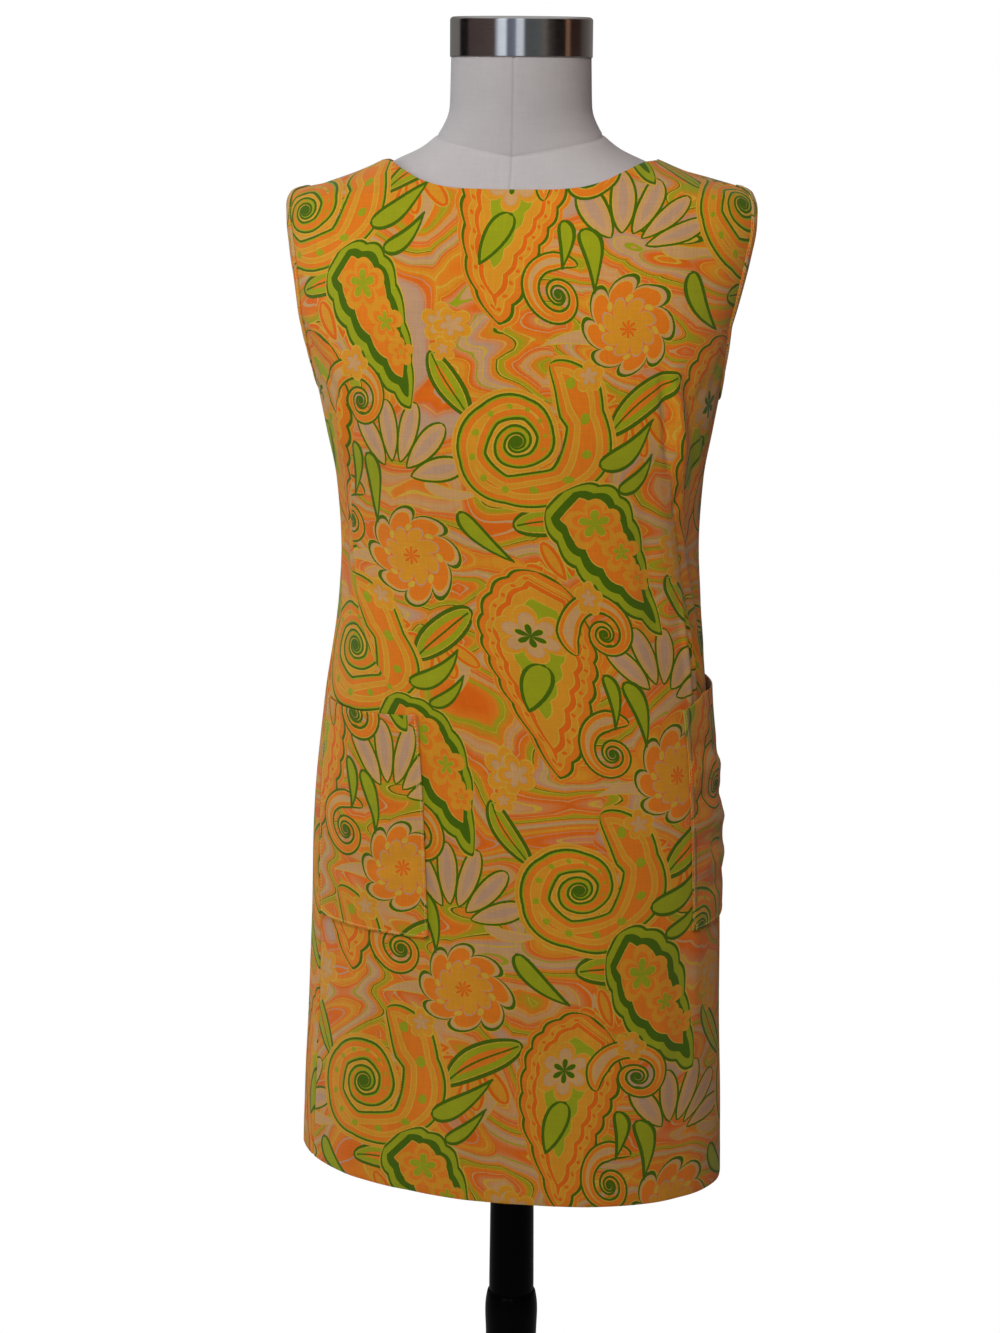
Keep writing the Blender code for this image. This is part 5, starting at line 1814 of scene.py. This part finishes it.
def linen_cover():
    threads = woven(cloth=flat_cloth(), threads=1100.0, slub=0.4, slub_length=60.0)
    soiling = patchy(7.0, 45.0)
    factor = (threads["Shade"] - 0.5) * 0.12 + (soiling - 0.5) * 0.3 + 1.0
    place = own_space()
    _, y, z = parts(place)
    back = y / length_of(vector("MULTIPLY", place, (1, 1, 0)))
    seam = (back * 0.5 + 0.5) ** SEAM_BEND * SEAM_RISE + SEAM_LOW
    # Above the neck's seam the linen is painted darker, as shade.
    above = made("ShaderNodeMapRange", z - seam, -0.0003, 0.0003)
    colour = scaled(LINEN, factor * (above * (NECK_PAINTED_SHADE - 1) + 1))
    return colour, soiling * -0.16 + 0.96, threads["Height"]


linen = finish("linen cover", linen_cover, 0.0001, 0.5, Roughness=0.9, Sheen_Weight=0.1,
               Specular_IOR_Level=0.2)

# %% [markdown]
# ## Metals and enamel
# The cap is brushed round, so its reflections are drawn out up and down. The mast
# has black enamel, the base is painted cast iron, and the zip has a nickel wash.

# %% Steel, enamel, iron, brass
def brushed_steel():
    x, y, z = parts(own_space())
    lines = noise(join(calc("ARCTAN2", y, x) * 5.0, z * 2600.0), 1, 3.0)
    factor = lines * 0.24 + 0.88 + rubbed(0.55) * 0.15
    rough = lines * 0.06 + patchy(30.0, 240.0) * 0.08 + 0.07
    return scaled((0.6, 0.585, 0.575), factor), rough, lines


def black_enamel():
    smears = patchy(16.0, 400.0, 0.4)
    black = scaled((0.0006, 0.0006, 0.0009), smears * 0.8 + 0.6)
    return over(rubbed(0.56) * 0.35, (0.05, 0.05, 0.052), black), smears * 0.16 + 0.16, smears


def cast_iron():
    grain, dust = patchy(220.0, 900.0, 0.5), patchy(14.0, 120.0)
    _, _, up = parts(made("ShaderNodeNewGeometry", give="Normal"))
    black = over(rubbed(0.54) * 0.5, (0.11, 0.105, 0.1), (0.014, 0.014, 0.015))
    colour = over(calc("MAXIMUM", up, 0) * (dust * 0.45), (0.06, 0.058, 0.054), black)
    return colour, dust * 0.25 + 0.4, grain


def washed_brass():
    wear = patchy(60.0, 700.0, 0.5)
    gone = limit(wear * 2.0 - 0.85 + rubbed(0.53, 900.0), 0, 1)
    return over(gone, (0.58, 0.42, 0.17), (0.56, 0.53, 0.46)), wear * 0.3 + 0.2, wear


steel = finish("brushed steel", brushed_steel, 0.000004, 0.5, Roughness=0.12, Metallic=1.0,
               Anisotropic=0.6, Anisotropic_Rotation=0.25)
enamel = finish("black enamel", black_enamel, 0.0001, 0.3, Roughness=0.3, Specular_IOR_Level=0.05,
                Coat_Weight=0.02, Coat_Roughness=0.12)
iron = finish("painted cast iron", cast_iron, 0.0006, 0.5, Roughness=0.5)
brass = finish("nickel-washed brass", washed_brass, 0.00004, 0.6, Roughness=0.32, Metallic=1.0)


# %% [markdown]
# ## Tape and thread
# The tape is a ribbed ochre twill with its rib troughs painted darker as shade, and the
# straw-coloured thread has a slight sheen.

# %% Tape, thread, and what wears which finish
def tape_ribs():
    u, v, _ = parts(flat_cloth())
    ribs = abs(calc("SINE", (u + v) * 2600.0))
    fading = patchy(40.0, 900.0, 0.5)
    # the troughs between the ribs are painted darker in the colour, as shade
    tone = ribs * 0.3 + fading * 0.35 + 0.52
    return scaled((0.56, 0.36, 0.08), tone), fading * 0.2 + 0.75, ribs


def thread_tone():
    tone = patchy(90.0, 2400.0, 0.5)
    return scaled(ink(226, 196, 128), tone * 0.9 + 0.55), tone * 0.3 + 0.42, tone


tape_finish = finish("zip tape", tape_ribs, 0.0002, 0.8, Roughness=0.9)
thread = finish("sewing thread", thread_tone, 0.00012, 0.8, Roughness=0.6, Sheen_Weight=0.3)
sheets = (front, back_left, back_right, pocket_left, pocket_right, band_left, band_right)
stitching = (pocket_left_stitches, pocket_right_stitches, band_left_stitches, band_right_stitches)
finishes = [
    (cotton_face, sheets), (cotton_reverse, sheets), (thread, stitching), (tape_finish, (tapes,)),
    (brass, (teeth, slider, bridge, pull)), (linen, (linen_form,)), (steel, (cap,)),
    (enamel, (mast, tube)), (iron, (base,)),
]
for material, things in finishes:
    for thing in things:
        thing.data.materials.append(material)
print(f"{len(finishes)} finishes")

# %% [markdown]
# ## Floor and light
# Clothes are shown against white, lit by a softbox above the front and by walls
# of light from the left. The camera sees floor and world as the same white, except
# in the shadow round the base. Polished surfaces see the bands of a room, because
# steel with nothing to reflect looks like plastic.

# %% Floor
FLOOR_REACH = 30
FLOOR_GREY, FLOOR_SEEN = (0.5, 0.5, 0.5), (0.93, 0.93, 0.93)  # what it bounces, and what is seen
SHADOW_REACH = (0.3, 0.62)  # where its shadows fade to white
WHITE = (1, 1, 1)

corners = [(x * FLOOR_REACH, y * FLOOR_REACH, 0) for x, y in ((-1, -1), (1, -1), (1, 1), (-1, 1))]
floor_mesh = bpy.data.meshes.new("floor")
floor_mesh.from_pydata(corners, [], [(0, 1, 2, 3)])
floor = link("floor", floor_mesh)
floor_paint, shader = start_material("floor white", Roughness=0.9, Specular_IOR_Level=0.0)
fade = made("ShaderNodeMapRange", length_of(own_space()), *SHADOW_REACH, 0.62, 1,
            interpolation_type="SMOOTHSTEP")
seen = made("ShaderNodeLightPath", give="Is Camera Ray")
feed(shader.inputs["Base Color"], over(seen, FLOOR_SEEN, FLOOR_GREY))
blend = make("ShaderNodeMixShader", seen * fade, Signal(shader.outputs[0]),
             made("ShaderNodeEmission", WHITE, 1))
feed(floor_paint.node_tree.nodes["Material Output"].inputs["Surface"], Signal(blend.outputs[0]))
floor_mesh.materials.append(floor_paint)

# %% World
ROOM = (  # degrees round from the front, and the colour that polished metal sees, in per cent
    (-180, 18, 18, 18), (-115, 20, 19, 18), (-108, 0.6, 0.5, 0.5), (-92, 0.6, 0.5, 0.5),
    (-86, 7.5, 5.2, 5), (-38, 9.5, 6.6, 6), (-30, 100, 110, 126), (-20, 105, 115, 130), (-16, 15, 17, 24),
    (-4, 22, 25, 34), (-1, 88, 96, 108), (8, 92, 100, 112), (12, 9, 10, 11), (34, 11, 12, 12.5),
    (44, 16, 14.5, 13), (52, 5, 4.2, 3.5), (64, 0.8, 0.5, 0.4), (80, 0.8, 0.5, 0.4), (84, 26, 13, 7.5),
    (89, 24, 12, 7), (93, 3, 1.2, 0.8), (114, 3.5, 1.6, 1.2), (120, 7, 5.5, 5), (160, 20, 18, 17),
    (180, 20, 20, 20),
)
CEILING = (0.55, 0.55, 0.55)
COOL_FILL, WARM_FILL = (0.13, 0.13, 0.132), (0.125, 0.065, 0.045)  # from the left, and from the right

world = bpy.data.worlds.new("studio")
bpy.context.scene.world = world
world.use_nodes = True
bench["tree"] = world.node_tree
x, y, z = parts(made("ShaderNodeTexCoord", give="Generated"))
azimuth = calc("ARCTAN2", x, y * -1)
stops = [(degrees / 360 + 0.5, [share / 100 for share in colour]) for degrees, *colour in ROOM]
bands, _ = ramp(azimuth * (1 / tau) + 0.5, stops, "LINEAR")
room = over(least((abs(z) * 1.4) ** 3.0, 1), CEILING, bands)
fill = over(made("ShaderNodeMapRange", x, -0.1, 0.8, 0, 1), WARM_FILL, COOL_FILL)
glossy = made("ShaderNodeLightPath", give="Is Glossy Ray")
from_camera = made("ShaderNodeLightPath", give="Is Camera Ray")
feed(world.node_tree.nodes["Background"].inputs["Color"], over(from_camera, WHITE, over(glossy, room, fill)))
bpy.context.scene.view_settings.view_transform = "Standard"


# %% Lamps
def lamp(name, kind, place, target, power, tint):
    data = bpy.data.lights.new(name, kind)
    data.energy, data.color = power, tint
    thing = link(name, data)
    thing.location = place
    thing.rotation_euler = (Vector(target) - thing.location).to_track_quat("-Z", "Y").to_euler()
    thing.visible_glossy = False
    return data


def softbox(name, place, target, size, power, tint):
    data = lamp(name, "AREA", place, target, power, tint)
    data.shape, data.size, data.size_y = "RECTANGLE", *size


def light_wall(name, round_from_front, up, spread, strength, tint):
    around, rise = radians(round_from_front), radians(up)
    place = (sin(around) * cos(rise) * 4, -cos(around) * cos(rise) * 4, 1 + sin(rise) * 4)
    lamp(name, "SUN", place, (0, 0, 1), strength, tint).angle = radians(spread)


WARM, COOL = (1, 0.99, 0.985), (0.965, 1, 1.04)
softbox("key", (0.02, -1.6, 2.35), (0, 0, 1.25), (1.3, 0.9), 25.0, WARM)
softbox("back", (-0.3, 2.6, 2.3), (0, 0, 1.1), (1.6, 1.6), 18, WARM)
light_wall("front", -20, 0, 40, 0.62, COOL)
light_wall("left", -80, 0, 40, 1.28, COOL)
light_wall("rear_left", -110, 5, 40, 0.92, COOL)

# %% [markdown]
# ## What moves with what
# Each piece is tied to the body of the frame that carries it and takes the place
# of the frame's plain solid.

# %% Bodies
SLOTS = {  # body, material slot, and each piece with the node that it replaces
    ("dressed_form", "printed_cotton"): (
        (front, "dress_front"), (back_left, "dress_back_left"), (back_right, "dress_back_right"),
        (pocket_left, "pocket_left"), (pocket_right, "pocket_right"), (band_left, "armhole_band_left"),
        (band_right, "armhole_band_right"), *((piece, None) for piece in stitching)),
    ("dressed_form", "zip_tape"): ((tapes, "zip_tape"),),
    ("dressed_form", "zip_metal"): ((teeth, None), (slider, "zip_slider"), (bridge, "zip_slider")),
    ("zip_pull", "zip_metal"): ((pull, "zip_pull"),),
    ("dressed_form", "linen_cover"): ((linen_form, "form_torso"),),
    ("dressed_form", "cap_steel"): ((cap, "neck_cap"),),
    ("mast", "stand_enamel"): ((mast, "mast"),),
    ("stand", "stand_enamel"): ((tube, "outer_tube"),),
    ("stand", "base_iron"): ((base, "base_plate"),),
}
for (body, slot), riders in SLOTS.items():
    for piece, node in riders:
        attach(piece, body)
        if node:
            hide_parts(node)
    print(f"{slot} on {body}: {len(riders)}")
